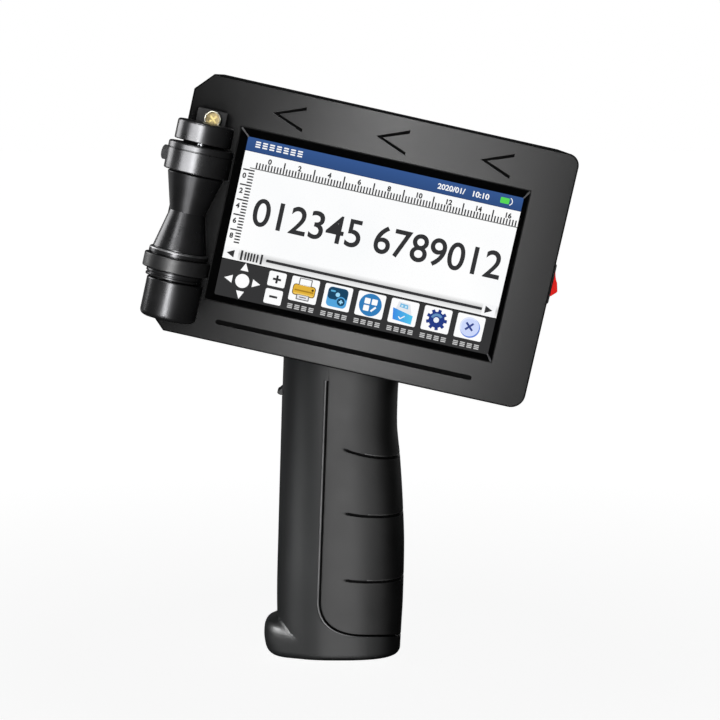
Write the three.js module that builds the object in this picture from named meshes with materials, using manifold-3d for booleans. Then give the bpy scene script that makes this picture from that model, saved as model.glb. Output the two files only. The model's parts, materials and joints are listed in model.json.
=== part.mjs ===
// Handheld date code inkjet printer: a flat head with a touch screen, a guide roller
// at its printing end and a pistol grip below.
// Millimetres, +Z up along the grip, -X towards the printing end, -Y the screen side.
// The origin is the centre of the grip's flat base.
//
// The head is modelled in its own frame (x along the head, y through it, z across it)
// and the whole group is then tilted nose up on the grip.

import * as THREE from 'three';
import { mergeVertices } from 'three/addons/utils/BufferGeometryUtils.js';
import Module from 'manifold-3d';

const wasm = await Module();
wasm.setup();

// ---------------------------------------------------------------- driving dimensions

const GAP = 0.3;                    // clearance between pieces that touch
const WALL = 2.5;                   // wall of the moulded covers

const HEAD_LENGTH = 132;
const HEAD_HEIGHT = 88.4;
const HEAD_DEPTH = 56;
const HEAD_TILT = THREE.MathUtils.degToRad(12.6);
const HEAD_CENTRE = [8.2, 0, 147.9];
const HEAD_EDGE = 1.2;              // small round on the front and back edges
const PART_LINE = -8;               // where the front and rear covers meet
const TOP_CHAMFER = [5.7, 6.2];     // cut corners at the printing end, along x and z
const BOTTOM_CHAMFER = [6.8, 6.5];
const TOP_RADIUS = 4;               // round corners at the switch end
const BOTTOM_RADIUS = 5;
const COLUMN = { x: 59.6, z: 37.8, radius: 4 };   // screw columns in the corners

const WINDOW = { x: 2.5, z: -0.8, length: 99, height: 59.8 };
const ACTIVE = { x: 2.8, z: -1.2, length: 95.4, height: 54.6 };
const PANEL = { length: 105.4, height: 66 };      // outline of the 4.3 inch display
const BEZEL_BACK = -24.4;
const GLASS = { front: -24.1, back: -23 };
const DISPLAY = { front: -22.7, back: -19.6 };
const BOARD = { x: 2.3, z: -1, length: 120, height: 58, front: -15.5, back: -13.9 };

const CHEVRONS = { x: [-37.4, -1.8, 34.3], z: 35.8, length: 9.6, rise: 3.7, width: 0.9 };
const GROOVE = { x: 2.1, z: -37.3, length: 89, width: 1.5 };
const ENGRAVING = 0.5;

const CARTRIDGE = { left: -46, right: 14, low: -31, high: 27, near: 4, far: 26 };
const SNOUT = { tip: -65.6, low: -14, high: 10, near: 7, far: 23 };
const CLAMP = { x: 20, y: 21.4, z: -2, arm: 21, width: 15, finger: 7 };
const BAY_CLEARANCE = 0.7;
const MUZZLE = { out: -66.9, back: -65.9, near: -4.5, far: 26.5, low: -36, high: 32 };

const SWITCH = { z: -2.1, pivot: 65.5, front: 68.3, length: 15, width: 10.5 };
const ROCKER_TILT = THREE.MathUtils.degToRad(15);
const USB = { y: 6, z: 22 };
const DC_JACK = { y: 8, z: -25 };

const FACE = -HEAD_DEPTH / 2;                     // y of the front face
const ROLLER = { x: -58.6, y: FACE - 15 };        // axis of the guide roller
const AXLE_RADIUS = 1.5;
const CAP = { low: 21.3, high: 28, radius: 9.45 };
const COLLAR = { low: 11, high: 20.4, radius: 10.9 };
const HOUSING = { x: -57.8, low: -38.2, high: -25.2, radius: 9.5, room: 7.4 };
const BRACKET_SCREWS = { x: -57.5, upper: 29.4, lower: -30 };

// The grip's front and back edges and half thickness, each as [height, value].
const GRIP_FRONT = [[0, -21.6], [1.2, -23.4], [3.6, -25.4], [6.8, -26.3], [9.6, -25.6],
  [12.4, -23.6], [15.5, -22.2], [20, -21.8], [68, -20.5], [94, -19.7], [114, -19.1]];
const GRIP_BACK = [[0, 19.6], [1.2, 21], [9, 22.1], [20, 23], [39, 23.4], [54, 22.9],
  [70, 21.9], [83, 20.8], [92, 21], [114, 22.6]];
const GRIP_SIDE = [[0, 15.6], [1.2, 16.8], [12, 17.4], [40, 18.2], [75, 17.8], [114, 17]];
const GRIP_LEVELS = [0, 1.2, 3.6, 6.8, 9.6, 12.4, 15.5, 20, 39, 54, 70, 83, 94, 114];
const GRIP_INNER_LEVELS = [9.6, 20, 39, 70, 94, 114];
const GRIP_ROUNDNESS = 2.6;                       // 2 is an ellipse, more is squarer
const GRIP_WALL = 2.4;
const GRIP_SPLIT = 1;                             // y of the joint between the two shells
const STRAP = { depth: 2.8, groove: 0.6, low: 9.6, top: -2.4, bottom: -6, bend: [15, 18] };
const CELL = { low: 11, high: 71, length: 24, thick: 5.8 };
const TRIGGER = { x: -16.4, z: 104.2, low: 92.3, width: 8 };

// ---------------------------------------------------------------- materials

function finish(color, roughness, metalness = 0) {
  return new THREE.MeshStandardMaterial({ color, roughness, metalness });
}

const shellPlastic = () => finish(0x2f3032, 0.55);
const gripPlastic = () => finish(0x33363b, 0.5);
const strapRubber = () => finish(0x303338, 0.7);
const glossBlack = () => finish(0x0c0c0e, 0.15);
const anodised = () => finish(0x1b1c1e, 0.3, 0.8);
const steel = () => finish(0xb9bcc0, 0.35, 1);
const brass = () => finish(0xc9a452, 0.3, 1);
const blackRubber = () => finish(0x18181a, 0.85);
const boardGreen = () => finish(0x1d5a38, 0.6);

// ---------------------------------------------------------------- solids

// A closed geometry as a solid: shared points merged, slivers dropped, faces turned out.
function asSolid(geometry) {
  const plain = geometry.clone();
  plain.deleteAttribute('normal');
  plain.deleteAttribute('uv');
  const merged = mergeVertices(plain, 1e-4);
  const points = merged.attributes.position.array;
  const corner = (index) => new THREE.Vector3().fromArray(points, 3 * index);
  const faces = [];
  let volume = 0;
  for (let i = 0; i < merged.index.count; i += 3) {
    const [a, b, c] = merged.index.array.slice(i, i + 3);
    if (a === b || b === c || c === a) continue;
    faces.push([a, b, c]);
    volume += corner(a).dot(corner(b).cross(corner(c)));
  }
  const outward = volume > 0 ? faces : faces.map(([a, b, c]) => [a, c, b]);
  return new wasm.Manifold(new wasm.Mesh({
    numProp: 3,
    vertProperties: new Float32Array(points),
    triVerts: new Uint32Array(outward.flat()),
  }));
}

function joined(...solids) {
  return solids.reduce((whole, next) => whole.add(next));
}

function cut(solid, ...tools) {
  return tools.reduce((left, tool) => left.subtract(tool), solid);
}

function piece(name, solid, material) {
  const { vertProperties, triVerts } = solid.getMesh();
  const geometry = new THREE.BufferGeometry();
  geometry.setAttribute('position', new THREE.BufferAttribute(vertProperties, 3));
  geometry.setIndex(new THREE.BufferAttribute(triVerts, 1));
  geometry.computeVertexNormals();
  const mesh = new THREE.Mesh(geometry, material);
  mesh.name = name;
  return mesh;
}

// A block between two opposite corners.
function block(low, high) {
  const size = low.map((value, i) => high[i] - value);
  const middle = low.map((value, i) => (high[i] + value) / 2);
  return asSolid(new THREE.BoxGeometry(...size).translate(...middle));
}

// A round bar between two points.
function rod(from, to, radius, sides = 16) {
  const start = new THREE.Vector3(...from);
  const way = new THREE.Vector3(...to).sub(start);
  const geometry = new THREE.CylinderGeometry(radius, radius, way.length(), sides);
  geometry.translate(0, way.length() / 2, 0);
  const turn = new THREE.Quaternion().setFromUnitVectors(
    new THREE.Vector3(0, 1, 0), way.clone().normalize());
  return asSolid(geometry.applyQuaternion(turn).translate(...from));
}

// A profile of [radius, height] points turned about an upright axis at x, y.
function turned(profile, x, y, sides = 28) {
  const points = profile.map(([radius, height]) => new THREE.Vector2(radius, height));
  const geometry = new THREE.LatheGeometry(points, sides);
  return asSolid(geometry.rotateX(Math.PI / 2).translate(x, y, 0));
}

// A closed profile for a turned ring or sleeve: the last point repeats the first.
function ring(profile) {
  return [...profile, profile[0]];
}

// An outline in x and z, filled from y = near to y = far.
function slab(shape, near, far, options = {}) {
  const geometry = new THREE.ExtrudeGeometry(shape, {
    depth: far - near, bevelEnabled: false, curveSegments: 4, ...options });
  return asSolid(geometry.rotateX(Math.PI / 2).translate(0, far, 0));
}

function rectangle(x, z, length, height, radius = 0) {
  const [left, right] = [x - length / 2, x + length / 2];
  const [low, high] = [z - height / 2, z + height / 2];
  const shape = new THREE.Shape();
  if (radius === 0) {
    shape.moveTo(left, low).lineTo(right, low).lineTo(right, high).lineTo(left, high);
    return shape;
  }
  shape.moveTo(left + radius, low);
  shape.absarc(right - radius, low + radius, radius, -Math.PI / 2, 0);
  shape.absarc(right - radius, high - radius, radius, 0, Math.PI / 2);
  shape.absarc(left + radius, high - radius, radius, Math.PI / 2, Math.PI);
  shape.absarc(left + radius, low + radius, radius, Math.PI, 1.5 * Math.PI);
  return shape;
}

// A closed skin through rings that have the same number of points.
function loft(rings) {
  const count = rings[0].length;
  const points = rings.flat().flatMap((point) => [...point]);
  const faces = [];
  for (let level = 0; level + 1 < rings.length; level += 1) {
    for (let i = 0; i < count; i += 1) {
      const a = level * count + i;
      const b = level * count + (i + 1) % count;
      faces.push(a, b, a + count, b, b + count, a + count);
    }
  }
  const last = (rings.length - 1) * count;
  for (let i = 1; i + 1 < count; i += 1) {
    faces.push(0, i + 1, i);
    faces.push(last, last + i, last + i + 1);
  }
  const geometry = new THREE.BufferGeometry();
  geometry.setAttribute('position', new THREE.Float32BufferAttribute(points, 3));
  geometry.setIndex(faces);
  return asSolid(geometry);
}

// A tapering rectangular hole: one rectangle at y = near, another at y = far.
function taper(front, near, back, far) {
  const corners = ({ x, z, length, height }, y) => [
    [x - length / 2, y, z - height / 2],
    [x + length / 2, y, z - height / 2],
    [x + length / 2, y, z + height / 2],
    [x - length / 2, y, z + height / 2],
  ];
  return loft([corners(front, near), corners(back, far)]);
}

// ---------------------------------------------------------------- head covers

// The head's outline, drawn in by a margin on every side.
function headOutline(margin = 0) {
  const x = HEAD_LENGTH / 2 - margin;
  const z = HEAD_HEIGHT / 2 - margin;
  const trim = margin * (2 - Math.SQRT2);
  const [topX, topZ] = TOP_CHAMFER.map((leg) => leg - trim);
  const [bottomX, bottomZ] = BOTTOM_CHAMFER.map((leg) => leg - trim);
  const topRadius = TOP_RADIUS - margin;
  const bottomRadius = BOTTOM_RADIUS - margin;
  const shape = new THREE.Shape();
  shape.moveTo(-x, z - topZ);
  shape.lineTo(-x, -z + bottomZ);
  shape.lineTo(-x + bottomX, -z);
  shape.absarc(x - bottomRadius, -z + bottomRadius, bottomRadius, -Math.PI / 2, 0);
  shape.absarc(x - topRadius, z - topRadius, topRadius, 0, Math.PI / 2);
  shape.lineTo(-x + topX, z);
  return shape;
}

function headShell() {
  const back = HEAD_DEPTH / 2;
  const outer = slab(headOutline(), FACE + HEAD_EDGE, back - HEAD_EDGE, {
    bevelEnabled: true, bevelSegments: 2, bevelSize: HEAD_EDGE,
    bevelOffset: -HEAD_EDGE, bevelThickness: HEAD_EDGE });
  const inner = slab(headOutline(WALL), FACE + WALL, back - WALL);
  return cut(outer, inner);
}

// The half space on one side of the parting line, as a large block.
function sideOf(near, far) {
  return block([-HEAD_LENGTH, near, -HEAD_HEIGHT], [HEAD_LENGTH, far, HEAD_HEIGHT]);
}

const columnPlaces = [[-1, -1], [1, -1], [1, 1], [-1, 1]].map(
  ([side, end]) => [side * COLUMN.x, end * COLUMN.z]);

function columns(near, far) {
  return columnPlaces.map(([x, z]) => rod([x, near, z], [x, far, z], COLUMN.radius, 14));
}

// A shallow V with its point towards the printing end.
function chevron(x) {
  const { z, length, rise, width } = CHEVRONS;
  const shape = new THREE.Shape();
  shape.moveTo(x - width, z);
  shape.lineTo(x + length, z - rise - width / 2);
  shape.lineTo(x + length, z - rise + width / 2);
  shape.lineTo(x + width, z);
  shape.lineTo(x + length, z + rise - width / 2);
  shape.lineTo(x + length, z + rise + width / 2);
  return slab(shape, FACE - 1, FACE + ENGRAVING);
}

// The head's lower wall is open over the grip, for the neck and the battery lead.
function neckOpening() {
  const bottom = -HEAD_HEIGHT / 2;
  return block([-1.5, -9, bottom - 1], [15.5, 9, bottom + WALL + 1]);
}

function frontCover() {
  const near = PART_LINE - GAP / 2;
  const body = headShell().intersect(sideOf(-HEAD_DEPTH, near));
  const posts = [[-54.5, -20], [-54.5, 20], [59.8, -20], [59.8, 20]].map(([x, z]) => (
    rod([x, FACE + 1, z], [x, BOARD.front - GAP, z], 1.8, 10)));
  const solid = joined(body, ...columns(FACE + 1, near), ...posts);
  const holes = columnPlaces.map(([x, z]) => rod([x, -18, z], [x, near + 1, z], 1.4, 10));
  const view = slab(rectangle(WINDOW.x, WINDOW.z, WINDOW.length, WINDOW.height),
    FACE - 1, FACE + WALL + 1);
  const groove = slab(
    rectangle(GROOVE.x, GROOVE.z, GROOVE.length, GROOVE.width, GROOVE.width / 2 - 0.01),
    FACE - 1, FACE + ENGRAVING, { curveSegments: 3 });
  const bracketHoles = bracketScrewPlaces.map(([x, z]) => (
    rod([x, FACE - 1, z], [x, FACE + WALL + 1, z], 1.8, 12)));
  const marks = CHEVRONS.x.map(chevron);
  return piece('front_cover',
    cut(solid, view, groove, neckOpening(), ...marks, ...holes, ...bracketHoles),
    shellPlastic());
}

// The part of the back wall and of the printing end that the cartridge leaves by.
function bayOpening() {
  const { left, right, low, high } = CARTRIDGE;
  const spare = BAY_CLEARANCE;
  const far = HEAD_DEPTH;
  const armEnd = CLAMP.x + CLAMP.arm + CLAMP.finger;
  return joined(
    block([left - spare, 20, low - spare], [right + 13, far, high + spare]),
    block([-HEAD_LENGTH, SNOUT.near - 1, SNOUT.low - 1], [left, far, SNOUT.high + 1]),
    block([right, 16, CLAMP.z - 9.5], [armEnd, far, CLAMP.z + 9.5]));
}

// A shallow recess in the printing end that the steel plate lies in.
function muzzleRecess() {
  return block([-HEAD_LENGTH, PART_LINE, MUZZLE.low - GAP],
    [MUZZLE.back + GAP, MUZZLE.far + GAP, MUZZLE.high + GAP]);
}

function rearCover() {
  const near = PART_LINE + GAP / 2;
  const back = HEAD_DEPTH / 2;
  const body = headShell().intersect(sideOf(near, HEAD_DEPTH));
  const solid = joined(body, ...columns(near, back - 1));
  const holes = columnPlaces.flatMap(([x, z]) => [
    rod([x, near - 1, z], [x, back, z], 1.8, 10),
    rod([x, back - 3.4, z], [x, back + 1, z], 3.1, 14)]);
  const { z, length, width } = SWITCH;
  const right = HEAD_LENGTH / 2;
  const sockets = [
    block([right - 5, 1 - width / 2, z - length / 2 + 1], [right + 5, width / 2 - 1, z + length / 2 - 1]),
    block([right - 5, USB.y - 4.9, USB.z - 2], [right + 5, USB.y + 4.9, USB.z + 2]),
    rod([right - 5, DC_JACK.y, DC_JACK.z], [right + 5, DC_JACK.y, DC_JACK.z], 4.3, 20),
  ];
  const muzzleHoles = muzzleScrewPlaces.map(([y, height]) => (
    rod([-right - 1, y, height], [-right + WALL + 1, y, height], 1.3, 10)));
  return piece('rear_cover',
    cut(solid, bayOpening(), muzzleRecess(), neckOpening(), ...holes, ...sockets, ...muzzleHoles),
    shellPlastic());
}

// A pan-head screw lying along a direction, head first, with a crossed recess.
function screw(name, head, way, sizes, material) {
  const { headRadius, headHeight, radius, length } = sizes;
  const shank = rod([0, -headHeight / 2, 0], [0, -headHeight - length, 0], radius, 8);
  const cap = new THREE.LatheGeometry([
    new THREE.Vector2(0, -headHeight),
    new THREE.Vector2(headRadius, -headHeight),
    new THREE.Vector2(headRadius, -headHeight * 0.35),
    new THREE.Vector2(headRadius * 0.7, 0),
    new THREE.Vector2(0, 0),
  ], 12);
  const arm = headRadius * 0.62;
  const slot = headRadius * 0.13;
  const depth = headHeight * 0.5;
  const solid = cut(joined(asSolid(cap), shank),
    block([-arm, -depth, -slot], [arm, 1, slot]),
    block([-slot, -depth, -arm], [slot, 1, arm]));
  const mesh = piece(name, solid, material);
  mesh.quaternion.setFromUnitVectors(new THREE.Vector3(0, -1, 0), new THREE.Vector3(...way));
  mesh.position.set(...head);
  return mesh;
}

const coverScrew = { headRadius: 2.7, headHeight: 1.8, radius: 1.1, length: 36 };
const muzzleScrew = { headRadius: 1.9, headHeight: 0.9, radius: 0.95, length: 4 };
const muzzleScrewPlaces = [[11, -25], [11, 24]];

function coverScrews() {
  const back = HEAD_DEPTH / 2 - 1.2;
  return columnPlaces.map(([x, z], i) => (
    screw(`rear_cover_screw_${i + 1}`, [x, back, z], [0, -1, 0], coverScrew, steel())));
}

// ---------------------------------------------------------------- display

function screenBezel() {
  const { x, z, length, height } = WINDOW;
  const slack = 2 * GAP;
  const outer = { x, z, length: length - slack, height: height - slack };
  const frame = slab(rectangle(x, z, outer.length, outer.height), FACE + 0.15, BEZEL_BACK);
  const flange = slab(rectangle(x, z, length + 5, height + 5), FACE + WALL + GAP, BEZEL_BACK);
  const mouth = { ...outer, length: outer.length - 1, height: outer.height - 1 };
  const opening = taper(mouth, FACE - 0.1, ACTIVE, BEZEL_BACK + 0.1);
  return piece('screen_bezel', cut(joined(frame, flange), opening), glossBlack());
}

function touchGlass() {
  const outline = rectangle(WINDOW.x, WINDOW.z, WINDOW.length + 5, WINDOW.height + 5, 1.5);
  return piece('touch_glass', slab(outline, GLASS.front, GLASS.back), glossBlack());
}

function displayPanel() {
  const outline = rectangle(ACTIVE.x, ACTIVE.z, PANEL.length, PANEL.height);
  const tail = block([-12, DISPLAY.back - 1, -36.5], [8, DISPLAY.back + 0.3, -30]);
  return piece('display_panel', joined(slab(outline, DISPLAY.front, DISPLAY.back), tail), steel());
}

function mainBoard() {
  const { x, z, length, height, front, back } = BOARD;
  const parts = [
    { at: [x - 8, z + 6], size: [14, 1.4, 14] },
    { at: [x + 14, z + 6], size: [11, 1.2, 13] },
    { at: [x - 34, z - 8], size: [9, 1.2, 9] },
    { at: [x + 38, z - 14], size: [8, 4.5, 8] },
    { at: [x - 6, z - 24], size: [22, 3.2, 5] },
    { at: [x + 40, z + 10], size: [6, 3, 14] },
    { at: [x - 48, z + 12], size: [6, 3.2, 18] },
  ];
  const chips = parts.map(({ at: [px, pz], size: [sx, sy, sz] }) => (
    block([px - sx / 2, back - 0.2, pz - sz / 2], [px + sx / 2, back + sy, pz + sz / 2])));
  const plate = slab(rectangle(x, z, length, height, 2), front, back);
  return piece('main_board', joined(plate, ...chips), boardGreen());
}

function buzzer() {
  const body = rod([46, -12, 26], [46, -6.5, 26], 4.5, 20);
  const hole = rod([46, -8, 26], [46, -6, 26], 1, 10);
  return piece('buzzer', cut(body, hole), blackRubber());
}

// ---------------------------------------------------------------- cartridge bay

function cartridgeCarriage() {
  const { left, right, low, high, near } = CARTRIDGE;
  const inner = BAY_CLEARANCE - 0.3;
  const thick = 1.8;
  const rim = 24.6;
  const floor = near - GAP;
  const tray = block([left - inner - thick, floor - thick, low - inner - thick],
    [CLAMP.x + 7, rim, high + inner + thick]);
  const room = block([left - inner, floor, low - inner], [CLAMP.x + 5.2, rim + 1, high + inner]);
  const snoutGap = block([left - 9, SNOUT.near - 2, SNOUT.low - 1.5],
    [left + 1, rim + 1, SNOUT.high + 1.5]);
  const armGap = block([CLAMP.x, CLAMP.y - 5.5, CLAMP.z - 9], [CLAMP.x + 9, rim + 1, CLAMP.z + 9]);
  const ears = [[-11.5, -9], [5, 7.5]].map(([from, to]) => (
    block([right + 1.4, floor - 0.5, from], [CLAMP.x + 5.5, rim, to])));
  const pinHole = rod([CLAMP.x, CLAMP.y, -12.5], [CLAMP.x, CLAMP.y, 8.5], 1.8, 14);
  return piece('cartridge_carriage',
    cut(joined(cut(tray, room, snoutGap, armGap), ...ears), pinHole), shellPlastic());
}

function inkCartridge() {
  const { left, right, low, high, near, far } = CARTRIDGE;
  const corner = 3;
  const outline = new THREE.Shape();
  outline.moveTo(left, low + corner).lineTo(left + corner, low);
  outline.lineTo(right - corner, low).lineTo(right, low + corner);
  outline.lineTo(right, high - corner).lineTo(right - corner, high);
  outline.lineTo(left + corner, high).lineTo(left, high - corner);
  const body = slab(outline, near, far);
  const snout = block([SNOUT.tip, SNOUT.near, SNOUT.low], [left + 1, SNOUT.far, SNOUT.high]);
  const ramp = loft([
    [[left - 8, SNOUT.near, SNOUT.high - 0.1], [left + 1, SNOUT.near, SNOUT.high - 0.1],
      [left + 1, SNOUT.near, SNOUT.high + 1]],
    [[left - 8, SNOUT.far, SNOUT.high - 0.1], [left + 1, SNOUT.far, SNOUT.high - 0.1],
      [left + 1, SNOUT.far, SNOUT.high + 1]],
  ]);
  const ribs = [0, 1, 2, 3].map((i) => (
    block([right - 7 - 3 * i, far - 0.8, -12], [right - 5.4 - 3 * i, far + 1, 8])));
  return piece('ink_cartridge', cut(joined(body, snout, ramp), ...ribs), finish(0x26282b, 0.4));
}

function nozzlePlate() {
  const y = (SNOUT.near + SNOUT.far) / 2;
  const plate = block([SNOUT.tip - 0.7, y - 4.5, -10], [SNOUT.tip - 0.3, y + 4.5, 6]);
  return piece('nozzle_plate', plate, finish(0xb08a3c, 0.35, 1));
}

function contactBoard() {
  const { left } = CARTRIDGE;
  const board = block([left - 4.6, 5, -31], [left - 3, 23, -17.5]);
  const pins = [7.5, 11, 14.5, 18, 21.5].flatMap((y) => [-28.5, -24.5, -20.5].map((z) => (
    block([left - 4.8, y - 0.5, z - 0.5], [left - 2.5, y + 0.5, z + 0.5]))));
  return piece('contact_board', joined(board, ...pins), boardGreen());
}

// A flip lever: its cam nose bears on the cartridge and its arm folds flat along the bay.
function clampLever() {
  const { x, y, z, arm, width } = CLAMP;
  const [low, high] = [z - width / 2 + 1, z + width / 2 - 1];
  const nose = block([x - 5.7, y - 1.8, low + 0.5], [x, y + 1.8, high - 0.5]);
  const hub = rod([x, y, low], [x, y, high], 3.3, 20);
  const blade = block([x, y + 1.2, low], [x + arm, y + 3.3, high]);
  const lip = block([x + arm - 2.4, y + 1.2, low], [x + arm, y + 5, high]);
  const bore = rod([x, y, low - 1], [x, y, high + 1], 1.8, 14);
  return piece('clamp_lever', cut(joined(nose, hub, blade, lip), bore), finish(0x2a62a8, 0.45));
}

function clampPin() {
  return piece('clamp_pin', rod([CLAMP.x, CLAMP.y, -12.2], [CLAMP.x, CLAMP.y, 8.2], 1.4, 14), steel());
}

function muzzlePlate() {
  const { out, back, near, far, low, high } = MUZZLE;
  const plate = block([out, near, low], [back, far, high]);
  const slot = block([out - 1, SNOUT.near - 1, SNOUT.low - 1], [back + 1, far + 1, SNOUT.high + 1]);
  const holes = muzzleScrewPlaces.map(([y, z]) => rod([out - 1, y, z], [back + 1, y, z], 1.3, 12));
  return piece('muzzle_plate', cut(plate, slot, ...holes), steel());
}

function muzzleScrews() {
  return muzzleScrewPlaces.map(([y, z], i) => (
    screw(`muzzle_screw_${i + 1}`, [MUZZLE.out - 0.9 - GAP, y, z], [1, 0, 0], muzzleScrew, steel())));
}

// ---------------------------------------------------------------- switch and sockets

function powerSwitch() {
  const { z, front, length, width, pivot } = SWITCH;
  const right = HEAD_LENGTH / 2;
  const flange = block([right + GAP, -width / 2, z - length / 2], [front, width / 2, z + length / 2]);
  const body = block([right - 14, 1.4 - width / 2, z - length / 2 + 1.4],
    [right + 0.5, width / 2 - 1.4, z + length / 2 - 1.4]);
  const well = block([pivot - 6.5, -width / 2 + 2, z - length / 2 + 2],
    [front + 1, width / 2 - 2, z + length / 2 - 2]);
  const blades = [-3.5, 3.5].map((side) => (
    block([right - 20, -0.4, z + side - 1.6], [right - 13.9, 0.4, z + side + 1.6])));
  return piece('power_switch', cut(joined(flange, body, ...blades), well), glossBlack());
}

// The rocker's profile is symmetric; it is drawn upright and turned to its "off" side.
function powerRocker() {
  const half = [[5.1, 0], [5.1, 3.2], [4.9, 3.6], [2.6, 4.9], [-1, 4.6], [-2.4, 2.4], [-2.6, 0]];
  const lower = half.slice(1, -1).reverse().map(([x, z]) => [x, -z]);
  const outline = new THREE.Shape([...half, ...lower].map(([x, z]) => new THREE.Vector2(x, z)));
  const mesh = piece('power_rocker', slab(outline, -2.9, 2.9), finish(0xd81410, 0.25));
  mesh.position.set(SWITCH.pivot, 0, SWITCH.z);
  mesh.rotation.y = -ROCKER_TILT;
  return mesh;
}

function usbPort() {
  const right = HEAD_LENGTH / 2;
  const { y, z } = USB;
  const shell = block([right - 8, y - 4.5, z - 1.65], [right - 0.6, y + 4.5, z + 1.65]);
  const mouth = block([right - 7, y - 3.9, z - 1.15], [right + 1, y + 3.9, z + 1.15]);
  const tongue = block([right - 7.5, y - 3.2, z - 0.35], [right - 2, y + 3.2, z + 0.35]);
  return piece('usb_port', joined(cut(shell, mouth), tongue), steel());
}

function dcJack() {
  const right = HEAD_LENGTH / 2;
  const { y, z } = DC_JACK;
  const barrel = rod([right - 13, y, z], [right - 0.6, y, z], 4, 20);
  const bore = rod([right - 11, y, z], [right + 1, y, z], 2.9, 20);
  const pin = rod([right - 12, y, z], [right - 2, y, z], 1.05, 12);
  return piece('dc_jack', joined(cut(barrel, bore), pin), glossBlack());
}

// ---------------------------------------------------------------- guide roller

const bracketScrewPlaces = [
  [BRACKET_SCREWS.x, BRACKET_SCREWS.upper],
  [BRACKET_SCREWS.x, BRACKET_SCREWS.lower],
];
const bracketScrew = { headRadius: 2.8, headHeight: 1.8, radius: 1.4, length: 7.5 };

function onAxle(profile, sides) {
  return turned(profile, ROLLER.x, ROLLER.y, sides);
}

function axleRod(low, high, radius = AXLE_RADIUS + GAP) {
  return rod([ROLLER.x, ROLLER.y, low], [ROLLER.x, ROLLER.y, high], radius, 18);
}

// The foot on the head's face and the tongue that carries the cap and the axle.
function rollerBracket() {
  const foot = block([-63, FACE - 3.3, 21], [-52.9, FACE - GAP, 32.4]);
  const tongue = block([-62.6, ROLLER.y - 3, 22.6], [-54.6, FACE - 3, 26.6]);
  const hole = rod([BRACKET_SCREWS.x, FACE - 4, BRACKET_SCREWS.upper],
    [BRACKET_SCREWS.x, FACE, BRACKET_SCREWS.upper], 1.8, 14);
  return piece('roller_bracket', cut(joined(foot, tongue), hole, axleRod(21, 28)), blackRubber());
}

function bracketScrews() {
  const [upper, lower] = bracketScrewPlaces;
  const outside = FACE - 3.3 - bracketScrew.headHeight - GAP;
  const inside = FACE + WALL + bracketScrew.headHeight + GAP;
  return [
    screw('bracket_screw_upper', [upper[0], outside, upper[1]], [0, 1, 0], bracketScrew, brass()),
    screw('bracket_screw_lower', [lower[0], inside, lower[1]], [0, -1, 0], bracketScrew, steel()),
  ];
}

function rollerCap() {
  const { low, high, radius } = CAP;
  const body = onAxle([[0, low], [radius - 0.4, low], [radius, low + 0.4], [radius, high - 0.8],
    [radius - 0.8, high], [0, high]]);
  const slot = block([-62.9, ROLLER.y - 3.3, 22.3], [-54.3, FACE, 26.9]);
  return piece('roller_cap', cut(body, slot, axleRod(low - 1, 26.9)), anodised());
}

function rollerAxle() {
  return piece('roller_axle', axleRod(-36.8, 26.5, AXLE_RADIUS), steel());
}

// The clamping collar stays still above the roller; a screw locks it on the axle.
function lockScrewDirection(reach) {
  const behind = THREE.MathUtils.degToRad(15);
  const middle = (COLLAR.low + COLLAR.high) / 2;
  return [ROLLER.x - reach * Math.cos(behind), ROLLER.y + reach * Math.sin(behind), middle];
}

function rollerCollar() {
  const { low, high, radius } = COLLAR;
  const line = high - 2.3;
  const body = onAxle(ring([[AXLE_RADIUS + GAP, low], [radius - 0.5, low], [radius, low + 0.5],
    [radius, line - 0.2], [radius - 0.3, line], [radius, line + 0.2], [radius, high - 0.6],
    [radius - 0.6, high], [AXLE_RADIUS + GAP, high]]));
  const seat = rod(lockScrewDirection(7.7), lockScrewDirection(15), 2.8, 16);
  const thread = rod(lockScrewDirection(0), lockScrewDirection(9), 1.5, 12);
  return piece('roller_collar', cut(body, seat, thread), anodised());
}

function lockScrew() {
  const head = rod(lockScrewDirection(8), lockScrewDirection(12.7), 2.45, 16);
  const shank = rod(lockScrewDirection(1.9), lockScrewDirection(8.5), 1.1, 10);
  return piece('lock_screw', joined(head, shank), blackRubber());
}

// The waisted roller: two cones, a rim, a seat for the tyre, and a hub for the code disc.
function guideRoller() {
  const bore = AXLE_RADIUS + GAP;
  const profile = ring([
    [4.2, -29.4], [5.3, -29.4], [5.3, -24.7], [9.45, -24.7], [9.45, -24], [9.1, -23.8],
    [9.1, -23.5], [9.45, -23.3], [9.45, -22.4], [8.9, -22.4], [8.9, -17], [9.6, -17],
    [9.95, -16.7], [9.95, -15.4], [9.6, -15], [8.95, -14.7], [6, -2.1], [9.3, 10.3],
    [9.1, 10.6], [4.3, 10.6], [4.3, 7.2], [bore, 7.2], [bore, -21.3], [4.2, -21.3]]);
  return piece('guide_roller', onAxle(profile), anodised());
}

function rollerTyre() {
  const [inner, outer, low, high] = [9.2, 11.1, -22.1, -17.3];
  const profile = ring([[inner, low], [outer - 0.4, low], [outer, low + 0.4],
    [outer, high - 0.4], [outer - 0.4, high], [inner, high]]);
  return piece('roller_tyre', onAxle(profile), blackRubber());
}

function bearing(name, low) {
  const profile = ring([[AXLE_RADIUS + 0.05 + GAP / 2, low], [3.9, low], [3.9, low + 3],
    [AXLE_RADIUS + 0.05 + GAP / 2, low + 3]]);
  return piece(name, onAxle(profile, 20), steel());
}

function codeDisc() {
  const profile = ring([[5.6, -28.4], [6.9, -28.4], [6.9, -27.8], [5.6, -27.8]]);
  return piece('encoder_disc', onAxle(profile), finish(0x9a9da3, 0.2, 0.8));
}

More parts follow.
